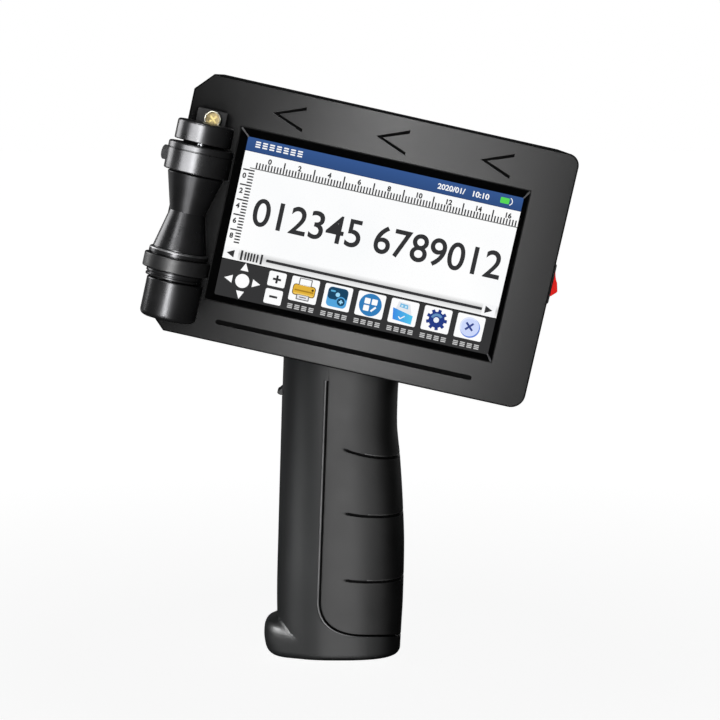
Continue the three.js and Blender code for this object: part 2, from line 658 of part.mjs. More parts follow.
// The cup under the roller holds the encoder; its foot rests on the head's face.
function encoderHousing() {
  const { x, low, high, radius, room } = HOUSING;
  const round = 1.6;
  const body = turned([[0, low], [radius - round, low], [radius - 0.4, low + 0.5],
    [radius, low + round], [radius, high - 0.5], [radius - 0.5, high], [0, high]], x, ROLLER.y);
  const foot = block([x - 5, ROLLER.y + 6, low + 1.6], [x + 5, FACE - GAP, high - 0.6]);
  const hole = rod([BRACKET_SCREWS.x, FACE - 6, BRACKET_SCREWS.lower],
    [BRACKET_SCREWS.x, FACE, BRACKET_SCREWS.lower], 1.8, 14);
  const solid = cut(joined(body, foot), axleRod(low - 1, high - 1.2, room),
    axleRod(low, high + 1, 5.9), hole);
  return piece('encoder_housing', solid, anodised());
}

function housingCap() {
  const plug = onAxle([[0, HOUSING.low + 0.1], [6.6, HOUSING.low + 0.1], [7.1, HOUSING.low + 0.5],
    [7.1, HOUSING.low + 2], [0, HOUSING.low + 2]]);
  return piece('encoder_cap', cut(plug, axleRod(-37.2, -30)), blackRubber());
}

function encoderBoard() {
  const plate = axleRod(-33.4, -32.2, 7);
  const sensor = block([ROLLER.x + 3.6, ROLLER.y - 2, -32.4], [ROLLER.x + 6.2, ROLLER.y + 2, -29.8]);
  return piece('encoder_board', cut(joined(plate, sensor), axleRod(-35, -31, 2.6)), boardGreen());
}

// ---------------------------------------------------------------- grip

// The value of a [height, value] list at a height, in straight runs between its points.
function valueAt(list, height) {
  const next = list.findIndex(([level], i) => i > 0 && level >= height);
  const [[low, from], [high, to]] = [list[next - 1], list[next]];
  return THREE.MathUtils.mapLinear(height, low, high, from, to);
}

// The grip's outer form, or with a margin the plainer form of its inner surfaces.
function gripForm(margin = 0, bottom = 0) {
  const [levels, sides] = margin === 0 ? [GRIP_LEVELS, 24] : [[bottom, ...GRIP_INNER_LEVELS], 20];
  return loft(levels.map((z) => {
    const front = valueAt(GRIP_FRONT, z) + margin;
    const back = valueAt(GRIP_BACK, z) - margin;
    const side = valueAt(GRIP_SIDE, z) - margin;
    return Array.from({ length: sides }, (_, i) => {
      const angle = (2 * Math.PI * (i + 0.5)) / sides;
      const squared = (value) => Math.sign(value) * Math.abs(value) ** (2 / GRIP_ROUNDNESS);
      return [
        (front + back) / 2 + ((back - front) / 2) * squared(Math.cos(angle)),
        side * squared(Math.sin(angle)),
        z,
      ];
    });
  }));
}

const headPlace = new THREE.Matrix4().compose(
  new THREE.Vector3(...HEAD_CENTRE),
  new THREE.Quaternion().setFromAxisAngle(new THREE.Vector3(0, 1, 0), HEAD_TILT),
  new THREE.Vector3(1, 1, 1));

// Everything from the head's lower face up, which the grip ends just below.
function headSpace() {
  const low = -HEAD_HEIGHT / 2 - GAP;
  const geometry = new THREE.BoxGeometry(300, 300, 200).translate(0, 0, low + 100);
  return asSolid(geometry.applyMatrix4(headPlace));
}

// The side outline of the back strap, grown by a margin.
function strapZone(margin = 0) {
  const { low, top, bottom, bend } = STRAP;
  const shape = new THREE.Shape();
  shape.moveTo(top - margin, 120);
  shape.lineTo(bottom - margin, low + bend[1]);
  shape.quadraticCurveTo(bottom - margin, low - margin, bottom + bend[0], low - margin);
  shape.lineTo(40, low - margin);
  shape.lineTo(40, 120);
  return slab(shape, -40, 40);
}

function halfSpace(side) {
  const [near, far] = side < 0 ? [-40, GRIP_SPLIT - GAP / 2] : [GRIP_SPLIT + GAP / 2, 40];
  return block([-60, near, -5], [60, far, 130]);
}

const gripScrewPlaces = [[-17.3, 30], [-17.1, 78], [4, 5.2]];
const gripScrew = { headRadius: 2.4, headHeight: 1.6, radius: 1.1, length: 16 };

function gripBody() {
  const outside = cut(gripForm(), strapZone(STRAP.groove));
  const core = gripForm(STRAP.depth + GAP);
  const frontRoom = cut(gripForm(GRIP_WALL, 3.2), strapZone(3));
  const room = gripForm(STRAP.depth + GAP + 2, 8);
  const bosses = gripScrewPlaces.map(([x, z]) => (
    rod([x, -16, z], [x, 16, z], 2.5, 14).intersect(gripForm(1))));
  const { x, z, width } = TRIGGER;
  const cheeks = [-1, 1].map((side) => {
    const [near, far] = [width / 2 + 0.6, width / 2 + 2.8].map((y) => side * y).sort((a, b) => a - b);
    return block([x - 2.2, near, z - 3], [x + 2.4, far, z + 2.4]);
  });
  const switchRests = [-1, 1].map((side) => {
    const [near, far] = [5.8, 15].map((y) => side * y).sort((a, b) => a - b);
    return block([-13, near, 91], [-7, far, 93.2]);
  });
  const solid = joined(cut(joined(outside, core), frontRoom, room), ...bosses, ...cheeks,
    ...switchRests);
  const slot = block([-24, -width / 2 - 0.4, TRIGGER.low - 0.6], [x + 2.6, width / 2 + 0.4, z + 2.8]);
  const pinHole = rod([x, -6.8, z], [x, 6.8, z], 1.3, 14);
  const holes = gripScrewPlaces.flatMap(([screwX, screwZ], i) => [
    rod([screwX, -9, screwZ], [screwX, 20, screwZ], 1.4, 12),
    rod([screwX, gripScrewHeads[i] - 1.6 - GAP, screwZ], [screwX, 22, screwZ], 2.7, 16)]);
  return cut(solid, slot, pinHole, headSpace(), ...holes);
}

const gripScrewHeads = [11.6, 11.4, 16];

function gripShells() {
  const body = gripBody();
  return [
    piece('grip_shell_near', body.intersect(halfSpace(-1)), gripPlastic()),
    piece('grip_shell_far', body.intersect(halfSpace(1)), gripPlastic()),
  ];
}

function gripScrews() {
  return gripScrewPlaces.map(([x, z], i) => (
    screw(`grip_screw_${i + 1}`, [x, gripScrewHeads[i], z], [0, -1, 0], gripScrew, steel())));
}

function backStrap() {
  const skin = cut(gripForm(), gripForm(STRAP.depth));
  return piece('grip_backstrap', cut(skin.intersect(strapZone()), headSpace()), strapRubber());
}

function trigger() {
  const { x, z, low, width } = TRIGGER;
  const outline = new THREE.Shape();
  outline.moveTo(x + 2.2, z);
  outline.absarc(x, z, 2.2, 0, Math.PI / 2);
  outline.lineTo(x - 2.6, z + 1.2);
  outline.lineTo(-19.4, 95.4);
  outline.lineTo(-20.6, 94.8);
  outline.quadraticCurveTo(-22.2, 93.2, -20.4, low + 0.2);
  outline.lineTo(-19.2, low);
  outline.lineTo(x - 0.4, low);
  outline.lineTo(x + 0.4, z - 3);
  const solid = slab(outline, -width / 2, width / 2);
  return piece('trigger', cut(solid, rod([x, -9, z], [x, 9, z], 1.3, 14)), gripPlastic());
}

function triggerPin() {
  const { x, z } = TRIGGER;
  return piece('trigger_pin', rod([x, -6.4, z], [x, 6.4, z], 1, 14), steel());
}

function triggerSwitch() {
  const body = block([-12.4, -6.4, 93.6], [-7.2, 6.4, 100.4]);
  const plunger = block([-14, -1.5, 94.4], [-12, 1.5, 96]);
  const legs = [-4.5, 0, 4.5].map((y) => block([-7.4, y - 0.5, 96.4], [-5.4, y + 0.5, 97.2]));
  return piece('trigger_switch', joined(body, plunger, ...legs), glossBlack());
}

// A coil along x between the switch body and the back of the trigger.
function triggerSpring() {
  const [turns, radius, wire] = [3.5, 1.3, 0.28];
  const perTurn = 10;
  const [from, to] = [-15.9, -13];
  const points = Array.from({ length: perTurn * turns + 1 }, (_, i) => {
    const angle = (2 * Math.PI * i) / perTurn;
    return new THREE.Vector3(from + ((to - from) * i) / (perTurn * turns),
      radius * Math.cos(angle), 98.4 + radius * Math.sin(angle));
  });
  const section = new THREE.Shape().absarc(0, 0, wire, 0, 2 * Math.PI);
  const geometry = new THREE.ExtrudeGeometry(section, {
    steps: perTurn * turns, curveSegments: 3, extrudePath: new THREE.CatmullRomCurve3(points) });
  return piece('trigger_spring', asSolid(geometry), steel());
}

// ---------------------------------------------------------------- power inside the grip

function batteryCells() {
  const { low, high, length, thick } = CELL;
  return [-1, 0, 1].map((place, i) => {
    const y = place * (thick + GAP);
    const pouch = block([-12.7, y - thick / 2, low], [-12.7 + length, y + thick / 2, high]);
    const tabs = [-8, 4].map((x) => block([x, y - 0.2, high - 0.5], [x + 4, y + 0.2, high + 2.5]));
    return piece(`battery_cell_${i + 1}`, joined(pouch, ...tabs), finish(0xc4c8cc, 0.4, 0.6));
  });
}

function batteryCradle() {
  const side = 1.5 * CELL.thick + GAP + 0.3;
  const floor = block([-14.4, -side, CELL.low - 2], [11.8, side, CELL.low - GAP]);
  const rails = [[-14.4, -13.1], [11.7, 13.2]].map(([from, to]) => (
    block([from, -6.5, CELL.low - 2], [to, 6.5, CELL.high - 4])));
  return piece('battery_cradle', joined(floor, ...rails), blackRubber());
}

function protectionBoard() {
  const plate = block([-11.5, -8, 75.4], [10, 8, 76.6]);
  const chips = [[-6, 0, 5, 4], [3, 2, 6, 6], [4, -5, 8, 2.5]].map(([x, y, long, wide]) => (
    block([x - long / 2, y - wide / 2, 76.4], [x + long / 2, y + wide / 2, 78])));
  return piece('protection_board', joined(plate, ...chips), boardGreen());
}

function batteryLead() {
  const route = [[0, 3.5, 78.6], [1.5, 2, 86], [3.6, 0, 94], [5.2, 0, 102], [7, -1, 111],
    [8.4, -5, 119], [8.6, -7.2, 126]];
  const path = new THREE.CatmullRomCurve3(route.map((point) => new THREE.Vector3(...point)));
  const section = new THREE.Shape().absarc(0, 0, 1.3, 0, 2 * Math.PI);
  const geometry = new THREE.ExtrudeGeometry(section, {
    steps: 16, curveSegments: 4, extrudePath: path });
  return piece('battery_lead', asSolid(geometry), finish(0x9c1f1c, 0.6));
}

// A flanged sleeve that ties the grip to the head and carries the lead through.
function neckSleeve() {
  const bottom = -HEAD_HEIGHT / 2;
  const inside = bottom + WALL + GAP;
  const sleeve = block([-1, -8.4, bottom - 12], [15, 8.4, inside + 1.5]);
  const flange = block([-4.5, -11.8, inside], [18.5, 11.8, inside + 1.8]);
  const way = block([0.5, -6.9, bottom - 13], [13.5, 6.9, inside + 3]);
  return piece('neck_sleeve', cut(joined(sleeve, flange), way), steel());
}

// ---------------------------------------------------------------- the whole printer

const head = new THREE.Group();
head.add(
  frontCover(), rearCover(), ...coverScrews(),
  screenBezel(), touchGlass(), displayPanel(), mainBoard(), buzzer(),
  cartridgeCarriage(), inkCartridge(), nozzlePlate(), contactBoard(),
  clampLever(), clampPin(), muzzlePlate(), ...muzzleScrews(),
  powerSwitch(), powerRocker(), usbPort(), dcJack(),
  rollerBracket(), ...bracketScrews(), rollerCap(), rollerAxle(), rollerCollar(), lockScrew(),
  guideRoller(), rollerTyre(), bearing('roller_bearing_upper', 7.4),
  bearing('roller_bearing_lower', -24.6), codeDisc(),
  encoderHousing(), housingCap(), encoderBoard(), neckSleeve(),
);
head.position.set(...HEAD_CENTRE);
head.rotation.y = HEAD_TILT;

const group = new THREE.Group();
group.add(
  head, ...gripShells(), ...gripScrews(), backStrap(),
  trigger(), triggerPin(), triggerSwitch(), triggerSpring(),
  ...batteryCells(), batteryCradle(), protectionBoard(), batteryLead(),
);

export default group;
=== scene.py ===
"""Looks of the handheld date code inkjet printer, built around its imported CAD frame.

Pieces are drawn in millimetres in one of two drawings and baked into metres: HEAD is the
head's own drawing (x along the head, y through it, z across it, tilted on the grip) and
GRIP is the object's own axes. The roller's axis gives the head its place and its tilt.
"""

import json
import math

import bmesh
import bpy
from mathutils import Matrix, Vector

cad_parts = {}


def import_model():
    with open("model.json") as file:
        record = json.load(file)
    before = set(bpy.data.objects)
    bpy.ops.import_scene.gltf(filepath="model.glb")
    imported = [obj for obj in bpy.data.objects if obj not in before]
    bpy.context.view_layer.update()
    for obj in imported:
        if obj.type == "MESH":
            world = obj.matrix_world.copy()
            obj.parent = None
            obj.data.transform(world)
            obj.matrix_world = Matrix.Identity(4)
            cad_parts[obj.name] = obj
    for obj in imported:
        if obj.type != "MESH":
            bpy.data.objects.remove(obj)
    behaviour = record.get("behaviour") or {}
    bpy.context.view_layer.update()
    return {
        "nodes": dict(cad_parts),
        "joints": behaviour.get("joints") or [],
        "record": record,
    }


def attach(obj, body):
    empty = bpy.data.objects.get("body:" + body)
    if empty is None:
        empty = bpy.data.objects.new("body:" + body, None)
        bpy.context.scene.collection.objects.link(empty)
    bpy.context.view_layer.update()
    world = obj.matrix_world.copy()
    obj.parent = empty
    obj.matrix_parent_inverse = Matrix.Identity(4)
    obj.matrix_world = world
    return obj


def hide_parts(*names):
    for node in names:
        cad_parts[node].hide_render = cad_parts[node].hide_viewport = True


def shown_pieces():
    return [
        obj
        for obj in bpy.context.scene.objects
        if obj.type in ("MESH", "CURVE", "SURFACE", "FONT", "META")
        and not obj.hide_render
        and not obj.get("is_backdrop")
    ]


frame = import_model()
scene = bpy.context.scene
nodes = frame["nodes"]
joints = {joint["name"]: joint for joint in frame["joints"]}

# ------------------------------------------------------------------ the two drawings

MM = 0.001
ROLLER = Vector((-58.6, -43.0, 0.0))            # the guide roller's axis, in the head's drawing
ACROSS = Vector(joints["roller_spin"]["axis"])
TILT = math.atan2(ACROSS.x, ACROSS.z)
TURN = Matrix.Rotation(TILT, 4, "Y")
HEAD_CENTRE = Vector(joints["roller_spin"]["pos_m"]) - TURN @ (ROLLER * MM)
GRIP = Matrix.Scale(MM, 4)
HEAD = Matrix.Translation(HEAD_CENTRE) @ TURN @ GRIP

FACE = -28.0                                    # the head's front face
LENGTH, HEIGHT = 132.0, 88.4
RIGHT, TOP = LENGTH / 2, HEIGHT / 2
WINDOW = (2.1, -0.7, 100.2, 59.8)               # middle x and z, length, height
ACTIVE = (2.8, -1.2, 95.4, 54.6)                # the lit area, in the same order
M3_HOLE, M3_HEAD = 1.8, 3.1                     # radii


def front_of(node):
    """The y of a CAD node's front, in the head's drawing."""
    drawing = HEAD.inverted()
    return min((drawing @ v.co).y for v in nodes[node].data.vertices)


# ------------------------------------------------------------------ drawing helpers

def smoothstep(low, high, value):
    """0 below low, 1 above high, and a smooth rise between."""
    t = min(max((value - low) / (high - low), 0.0), 1.0)
    return t * t * (3 - 2 * t)


def fillet(points, closed=True, steps=6):
    """An outline's points with its corners rounded: each is (u, v) or (u, v, radius)."""
    out = []
    count = len(points)
    for i, point in enumerate(points):
        here = Vector(point[:2])
        radius = point[2] if len(point) > 2 else 0
        ends = not closed and i in (0, count - 1)
        if radius <= 0 or ends:
            out.append(here)
            continue
        back = (Vector(points[i - 1][:2]) - here).normalized()
        ahead = (Vector(points[(i + 1) % count][:2]) - here).normalized()
        half = back.angle(ahead) / 2
        centre = here + (back + ahead).normalized() * radius / math.sin(half)
        start = here + back * radius / math.tan(half) - centre
        sweep = math.pi - 2 * half
        side = 1 if start.y * back.x - start.x * back.y > 0 else -1
        for k in range(steps + 1):
            angle = side * sweep * k / steps
            out.append(centre + Matrix.Rotation(angle, 2) @ start)
    return out


def oblong(x, z, length, height, radius=0.0):
    """A rectangle's corners round a middle point, each with the same radius."""
    return [(x + sx * length / 2, z + sz * height / 2, radius)
            for sx, sz in ((-1, -1), (1, -1), (1, 1), (-1, 1))]


def circle(sides):
    return [2 * math.pi * k / sides for k in range(sides)]


def skin(rings):
    """A closed mesh through rings of equally many points."""
    bm = bmesh.new()
    rows = [[bm.verts.new(point) for point in ring] for ring in rings]
    count = len(rows[0])
    for low, high in zip(rows, rows[1:]):
        for i in range(count):
            k = (i + 1) % count
            bm.faces.new((low[i], low[k], high[k], high[i]))
    bm.faces.new(reversed(rows[0]))
    bm.faces.new(rows[-1])
    return bm


def slab(outline, near, far):
    """An outline in x and z, filled from y = near to y = far."""
    return skin([[(p[0], y, p[1]) for p in outline] for y in (near, far)])


def block(low, high):
    return slab([(low[0], low[2]), (high[0], low[2]), (high[0], high[2]), (low[0], high[2])],
                low[1], high[1])


def rod(start, end, radius, sides=48):
    """A round bar between two points."""
    start, end = Vector(start), Vector(end)
    turn = (end - start).to_track_quat("Z", "Y")
    return skin([[middle + turn @ Vector((radius * math.cos(a), radius * math.sin(a), 0))
                  for a in circle(sides)] for middle in (start, end)])


def pin(x, z, near, far, radius, sides=48):
    """A rod along y."""
    return rod((x, near, z), (x, far, z), radius, sides)


def upright(radius, low, high):
    """A rod on the guide roller's axis."""
    return rod((ROLLER.x, ROLLER.y, low), (ROLLER.x, ROLLER.y, high), radius)


def turned(profile, x=ROLLER.x, y=ROLLER.y, sides=96):
    """A closed profile of (radius, height) points turned about an upright axis.

    A profile whose ends both lie on the axis is a solid; any other closes on itself."""
    bm = bmesh.new()
    on_axis = profile[0][0] == 0
    rows = []
    for radius, height in profile:
        if radius == 0:
            rows.append([bm.verts.new((x, y, height))])
            continue
        rows.append([bm.verts.new((x + radius * math.cos(a), y + radius * math.sin(a), height))
                     for a in circle(sides)])
    pairs = list(zip(rows, rows[1:])) + ([] if on_axis else [(rows[-1], rows[0])])
    for low, high in pairs:
        for i in range(sides):
            k = (i + 1) % sides
            corners = list(dict.fromkeys((low[i % len(low)], low[k % len(low)],
                                          high[k % len(high)], high[i % len(high)])))
            if len(corners) > 2:
                bm.faces.new(corners)
    return bm


def solid(bm, name="tool"):
    """A drawing as a temporary object, with its faces pointing out."""
    bmesh.ops.recalc_face_normals(bm, faces=bm.faces)
    mesh = bpy.data.meshes.new(name)
    bm.to_mesh(mesh)
    bm.free()
    obj = bpy.data.objects.new(name, mesh)
    scene.collection.objects.link(obj)
    return obj


def apply_modifiers(obj):
    graph = bpy.context.evaluated_depsgraph_get()
    mesh = bpy.data.meshes.new_from_object(obj.evaluated_get(graph))
    obj.modifiers.clear()
    old, obj.data = obj.data, mesh
    bpy.data.meshes.remove(old)


def combine(obj, operation, *tools):
    """A boolean. The empty materials keep each face's material number through it."""
    for piece in (obj, *tools):
        while len(piece.data.materials) < 3:
            piece.data.materials.append(None)
    for tool in tools:
        modifier = obj.modifiers.new(operation, "BOOLEAN")
        modifier.operation = operation
        modifier.solver = "EXACT"
        modifier.object = tool
    apply_modifiers(obj)
    for tool in tools:
        bpy.data.objects.remove(tool)


def cut(obj, *drawings):
    combine(obj, "DIFFERENCE", *[solid(bm) for bm in drawings])


def join(obj, *drawings):
    combine(obj, "UNION", *[solid(bm) for bm in drawings])


def round_edges(obj, width, segments=3, angle=35):
    modifier = obj.modifiers.new("round", "BEVEL")
    modifier.width = width
    modifier.segments = segments
    modifier.limit_method = "ANGLE"
    modifier.angle_limit = math.radians(angle)
    modifier.use_clamp_overlap = False
    apply_modifiers(obj)


def shade(obj, angle=40):
    """Smooth shading that keeps corners sharper than the angle, weighted by face area."""
    obj.data.shade_smooth()
    obj.data.set_sharp_from_angle(angle=math.radians(angle))
    modifier = obj.modifiers.new("normals", "WEIGHTED_NORMAL")
    modifier.keep_sharp = True


def place(obj, name, node, slot, drawing=HEAD, body="printer", looks=None, angle=40, trims=()):
    """Bakes a drawing into the object's frame in place of a CAD node, and gives it its body and
    materials: looks, or else the look named by slot, for its faces, and trims for those with a
    higher material number."""
    obj.name = obj.data.name = name
    obj.data.transform(drawing)
    faces = [polygon.material_index for polygon in obj.data.polygons]
    obj.data.materials.clear()
    for key in (looks or slot, *trims):
        obj.data.materials.append(LOOKS[key])
    obj.data.polygons.foreach_set("material_index", faces)
    shade(obj, angle)
    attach(obj, body)
    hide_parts(node)


def merge(first, *others):
    """Joins finished objects into the first one."""
    bm = bmesh.new()
    for obj in (first, *others):
        bm.from_mesh(obj.data)
    bm.to_mesh(first.data)
    bm.free()
    for obj in others:
        bpy.data.objects.remove(obj)
    return first


# ------------------------------------------------------------------ materials

class Nodes:
    """A short way to write a material's node tree."""

    def __init__(self, name):
        self.material = bpy.data.materials.new(name)
        self.material.use_nodes = True
        self.tree = self.material.node_tree
        self.shader = self.tree.nodes["Principled BSDF"]
        self.place = self.add("TexCoord").outputs["Object"]

    def feed(self, node, inputs):
        """Gives a node's inputs their numbers, colours or links."""
        for key, value in inputs.items():
            socket = node.inputs[key]
            if isinstance(value, bpy.types.NodeSocket):
                self.tree.links.new(value, socket)
            else:
                socket.default_value = (*value, 1) if socket.type == "RGBA" else value

    def add(self, kind, inputs=(), **settings):
        node = self.tree.nodes.new("ShaderNode" + kind)
        for key, value in settings.items():
            setattr(node, key, value)
        self.feed(node, dict(inputs))
        return node

    def surface(self, inputs):
        """The material, once its shader has its inputs."""
        self.feed(self.shader, inputs)
        return self.material

    def noise(self, size_mm, detail=3.0, stretch=None):
        """Noise whose features are about size_mm across; stretch scales x, y and z."""
        where = self.place
        if stretch:
            where = self.add("Mapping", {"Scale": stretch, "Vector": where}).outputs["Vector"]
        return self.add("TexNoise", {"Scale": 1 / (size_mm * MM), "Detail": detail,
                                     "Vector": where}).outputs["Fac"]

    def spread(self, value, low, high, start=0.3, end=0.7):
        """A value from start to end, remapped to run from low to high."""
        return self.add("MapRange", {"From Min": start, "From Max": end, "To Min": low,
                                     "To Max": high, "Value": value}).outputs["Result"]

    def blend(self, factor, first, second, kind="MIX"):
        """A colour between two colours or sockets."""
        node = self.add("Mix", {"Factor": factor}, data_type="RGBA", blend_type=kind)
        ends = [k for k, socket in enumerate(node.inputs) if socket.type == "RGBA"]
        self.feed(node, dict(zip(ends, (first, second))))
        return next(socket for socket in node.outputs if socket.type == "RGBA")

    def bump(self, height, depth_mm, strength=1.0):
        return self.add("Bump", {"Distance": depth_mm * MM, "Strength": strength,
                                 "Height": height}).outputs["Normal"]

    def product(self, first, second):
        return self.add("Math", {0: first, 1: second}, operation="MULTIPLY").outputs["Value"]

    def dot(self, first, second):
        return self.add("VectorMath", {0: first, 1: second},
                        operation="DOT_PRODUCT").outputs["Value"]

    def edges(self, radius_mm):
        """1 where the surface turns within the radius, 0 where it is flat."""
        bevel = self.add("Bevel", {"Radius": radius_mm * MM}, samples=4)
        along = self.dot(bevel.outputs["Normal"], self.add("NewGeometry").outputs["Normal"])
        return self.spread(along, 1.0, 0.0, 0.80, 0.99)


def shaded(colour, factor):
    """A colour made lighter or darker."""
    return tuple(min(channel * factor, 1.0) for channel in colour)


def finish(name, colour, roughness, metallic=0.0, specular=0.5, mottle=0.12, mottle_mm=14,
           smudge=0.05, grain_mm=0.4, grain_depth=0.006, stretch=None, wear=0.0, painted_shade_mm=0):
    """A moulded, painted or machined surface: mottled colour, smudged gloss and fine grain, with
    rubbed edges where there is wear, and painted shade where there is painted_shade_mm: less gloss
    near other parts, found by ambient occlusion."""
    mat = Nodes(name)
    base = mat.blend(mat.spread(mat.noise(mottle_mm, 4), 0, 1),
                     shaded(colour, 1 - mottle), shaded(colour, 1 + mottle))
    if wear:
        rubbed = mat.product(mat.edges(0.35), mat.spread(mat.noise(3, 5), 0, wear))
        base = mat.blend(rubbed, base, shaded(colour, 2.6))
    # painted shade: gloss is taken away where ambient occlusion finds other parts close by, in
    # place of their shadow
    if painted_shade_mm:
        near = mat.add("AmbientOcclusion", {"Distance": painted_shade_mm * MM}, samples=8)
        specular = mat.spread(near.outputs["AO"], 0.0, specular, 0.5, 0.8)
    return mat.surface({
        "Base Color": base, "Metallic": metallic, "Specular IOR Level": specular,
        "Roughness": mat.spread(mat.noise(mottle_mm * 0.6, 5, stretch),
                                roughness - smudge, roughness + smudge),
        "Normal": mat.bump(mat.noise(grain_mm, 2, stretch), grain_depth)})


def turned_metal(name, colour, roughness, metallic):
    """Anodised or plated metal with fine rings left by turning about the roller's axis."""
    mat = Nodes(name)
    rings = mat.add("TexNoise", {"Scale": 1 / (0.6 * MM), "Detail": 2.0,
                                 "W": mat.dot(mat.place, ACROSS)}, noise_dimensions="1D")
    return mat.surface({
        "Base Color": mat.blend(mat.spread(mat.noise(9, 4), 0, 1),
                                shaded(colour, 0.88), shaded(colour, 1.12)),
        "Metallic": metallic,
        "Roughness": mat.spread(mat.noise(6, 5), roughness - 0.03, roughness + 0.04),
        "Normal": mat.bump(rings.outputs["Fac"], 0.0015, 0.15)})


def glass_looks():
    """Clear glass with a very faint unevenness."""
    mat = Nodes("touch_glass_looks")
    return mat.surface({
        "Base Color": (1, 1, 1), "Transmission Weight": 1.0, "IOR": 1.3,
        "Roughness": mat.spread(mat.noise(22, 5), 0.0, 0.02),
        "Normal": mat.bump(mat.noise(40, 2), 0.001, 0.1)})


def display_looks():
    """The lit picture: each drawn shape's own tint, with a faint unevenness of the backlight."""
    mat = Nodes("display_picture_looks")
    tint = mat.add("VertexColor", layer_name="tint").outputs["Color"]
    return mat.surface({
        "Base Color": (0.01, 0.01, 0.01), "Roughness": 0.4, "Specular IOR Level": 0.0,
        "Emission Color": mat.blend(mat.spread(mat.noise(30, 2), 0, 1), tint,
                                    (0.95, 0.96, 0.97), "MULTIPLY"),
        "Emission Strength": 1.04})


def board_looks():
    """Green circuit board with rows of tracks."""
    mat = Nodes("circuit_board_looks")
    flat = mat.add("Mapping", {"Rotation": (math.pi / 2, 0, 0), "Vector": mat.place})
    tracks = mat.add("TexBrick", {
        "Scale": 1 / (7 * MM), "Mortar Size": 0.06, "Color1": (0.008, 0.075, 0.03),
        "Color2": (0.01, 0.09, 0.035), "Mortar": (0.02, 0.16, 0.06),
        "Vector": flat.outputs["Vector"]}, offset=0.5)
    return mat.surface({
        "Base Color": tracks.outputs["Color"],
        "Roughness": mat.spread(mat.noise(5, 4), 0.28, 0.42),
        "Normal": mat.bump(tracks.outputs["Fac"], 0.03, 0.5)})


# each look's colour, roughness, metallic, specular, mottle and its size in mm, smudge, the
# grain's size and depth in mm, stretch, wear, and painted_shade_mm, the reach of the painted
# shade near other parts; what a row leaves out is finish's own
FINISHES = {
    # the covers' plastic; its last number is the reach of its painted shade near the roller and
    # other parts
    "shell_plastic": ((0.016, 0.016, 0.0165), 0.22, 0.0, 0.5, 0.05, 30, 0.015, 0.25, 0.0025, None,
                      0.25, 20),
    "grip_plastic": ((0.031, 0.033, 0.0345), 0.46, 0.0, 0.5, 0.05, 30, 0.03, 0.3, 0.004, None,
                     0.2),
    "strap_rubber": ((0.034, 0.034, 0.0345), 0.46, 0.0, 0.5, 0.05, 18, 0.04, 0.35, 0.008),
    "gloss_black": ((0.004, 0.004, 0.0042), 0.42, 0.0, 0.25, 0.1, 14, 0.03, 6, 0.002),
    "steel": ((0.52, 0.53, 0.55), 0.3, 1.0, 0.5, 0.06, 14, 0.06, 0.5, 0.002, (1, 1, 12)),
    "brass_screw": ((0.43, 0.35, 0.15), 0.36, 1.0, 0.5, 0.14, 1.6, 0.08, 0.3),
    # a lighter copy of brass for the screw's rim, a painted highlight, and a darker one for its
    # flat, painted shade
    "brass_rim_highlight": ((0.92, 0.88, 0.74), 0.4, 1.0, 0.5, 0.1, 1.6, 0.05, 0.3, 0.004),
    "brass_flat": ((0.22, 0.175, 0.09), 0.4, 1.0, 0.5, 0.3, 0.8, 0.05, 0.3),
    "black_rubber": ((0.028, 0.028, 0.029), 0.62, 0.0, 0.35, 0.15, 5, 0.08, 0.25, 0.012),
    "roller_tyre": ((0.009, 0.009, 0.0093), 0.4, 0.0, 0.6, 0.1, 6, 0.06, 0.25, 0.01),
    "red_rocker": ((0.9, 0.012, 0.008), 0.6, 0.0, 0.1, 0.08, 6, 0.04, 2, 0.002),
    "cartridge_plastic": ((0.03, 0.032, 0.036), 0.4, 0.0, 0.5, 0.12, 14, 0.06),
    "lever_blue": ((0.035, 0.16, 0.42), 0.36, 0.0, 0.5, 0.08, 14, 0.05, 0.5, 0.004),
    "gold_plate": ((0.78, 0.52, 0.2), 0.24, 1.0, 0.5, 0.08, 4, 0.05, 0.3, 0.002),
    "pouch_cell": ((0.6, 0.62, 0.64), 0.3, 0.8, 0.5, 0.08, 8, 0.08, 3, 0.05),
    "lead_sheath": ((0.35, 0.02, 0.018), 0.45, 0.0, 0.5, 0.1, 14, 0.05, 1, 0.01),
    # near black for the floors and walls of grooves and chevrons: painted shade
    "groove_shade": ((0.002, 0.002, 0.002), 0.7, 0.0, 0.15, 0.2, 3, 0.05, 0.3, 0.004),
    # light grey for the bezel's mitre faces: a painted highlight
    "mitre": ((0.34, 0.34, 0.35), 0.35, 0.0, 0.5, 0.15, 2, 0.05, 0.3, 0.003),
    # a lighter look for the grip's bead and the edges above the finger grooves: a painted
    # highlight
    "ridge": ((0.2, 0.2, 0.203), 0.42, 0.5, 0.5, 0.2, 4, 0.05, 0.3, 0.004),
    # a lighter metal for the roller flange's upper edge: a painted highlight
    "highlight_edge": ((0.3, 0.3, 0.305), 0.4, 1.0, 0.5, 0.2, 4, 0.05, 0.3, 0.004),
}
LOOKS = {key: finish(f"{key}_looks", *values) for key, values in FINISHES.items()}
LOOKS |= {"screen_glass": glass_looks(), "circuit_board": board_looks(),
          "anodised_black": turned_metal("anodised_black_looks", (0.06, 0.06, 0.062), 0.28, 0.9)}


# ------------------------------------------------------------------ head covers

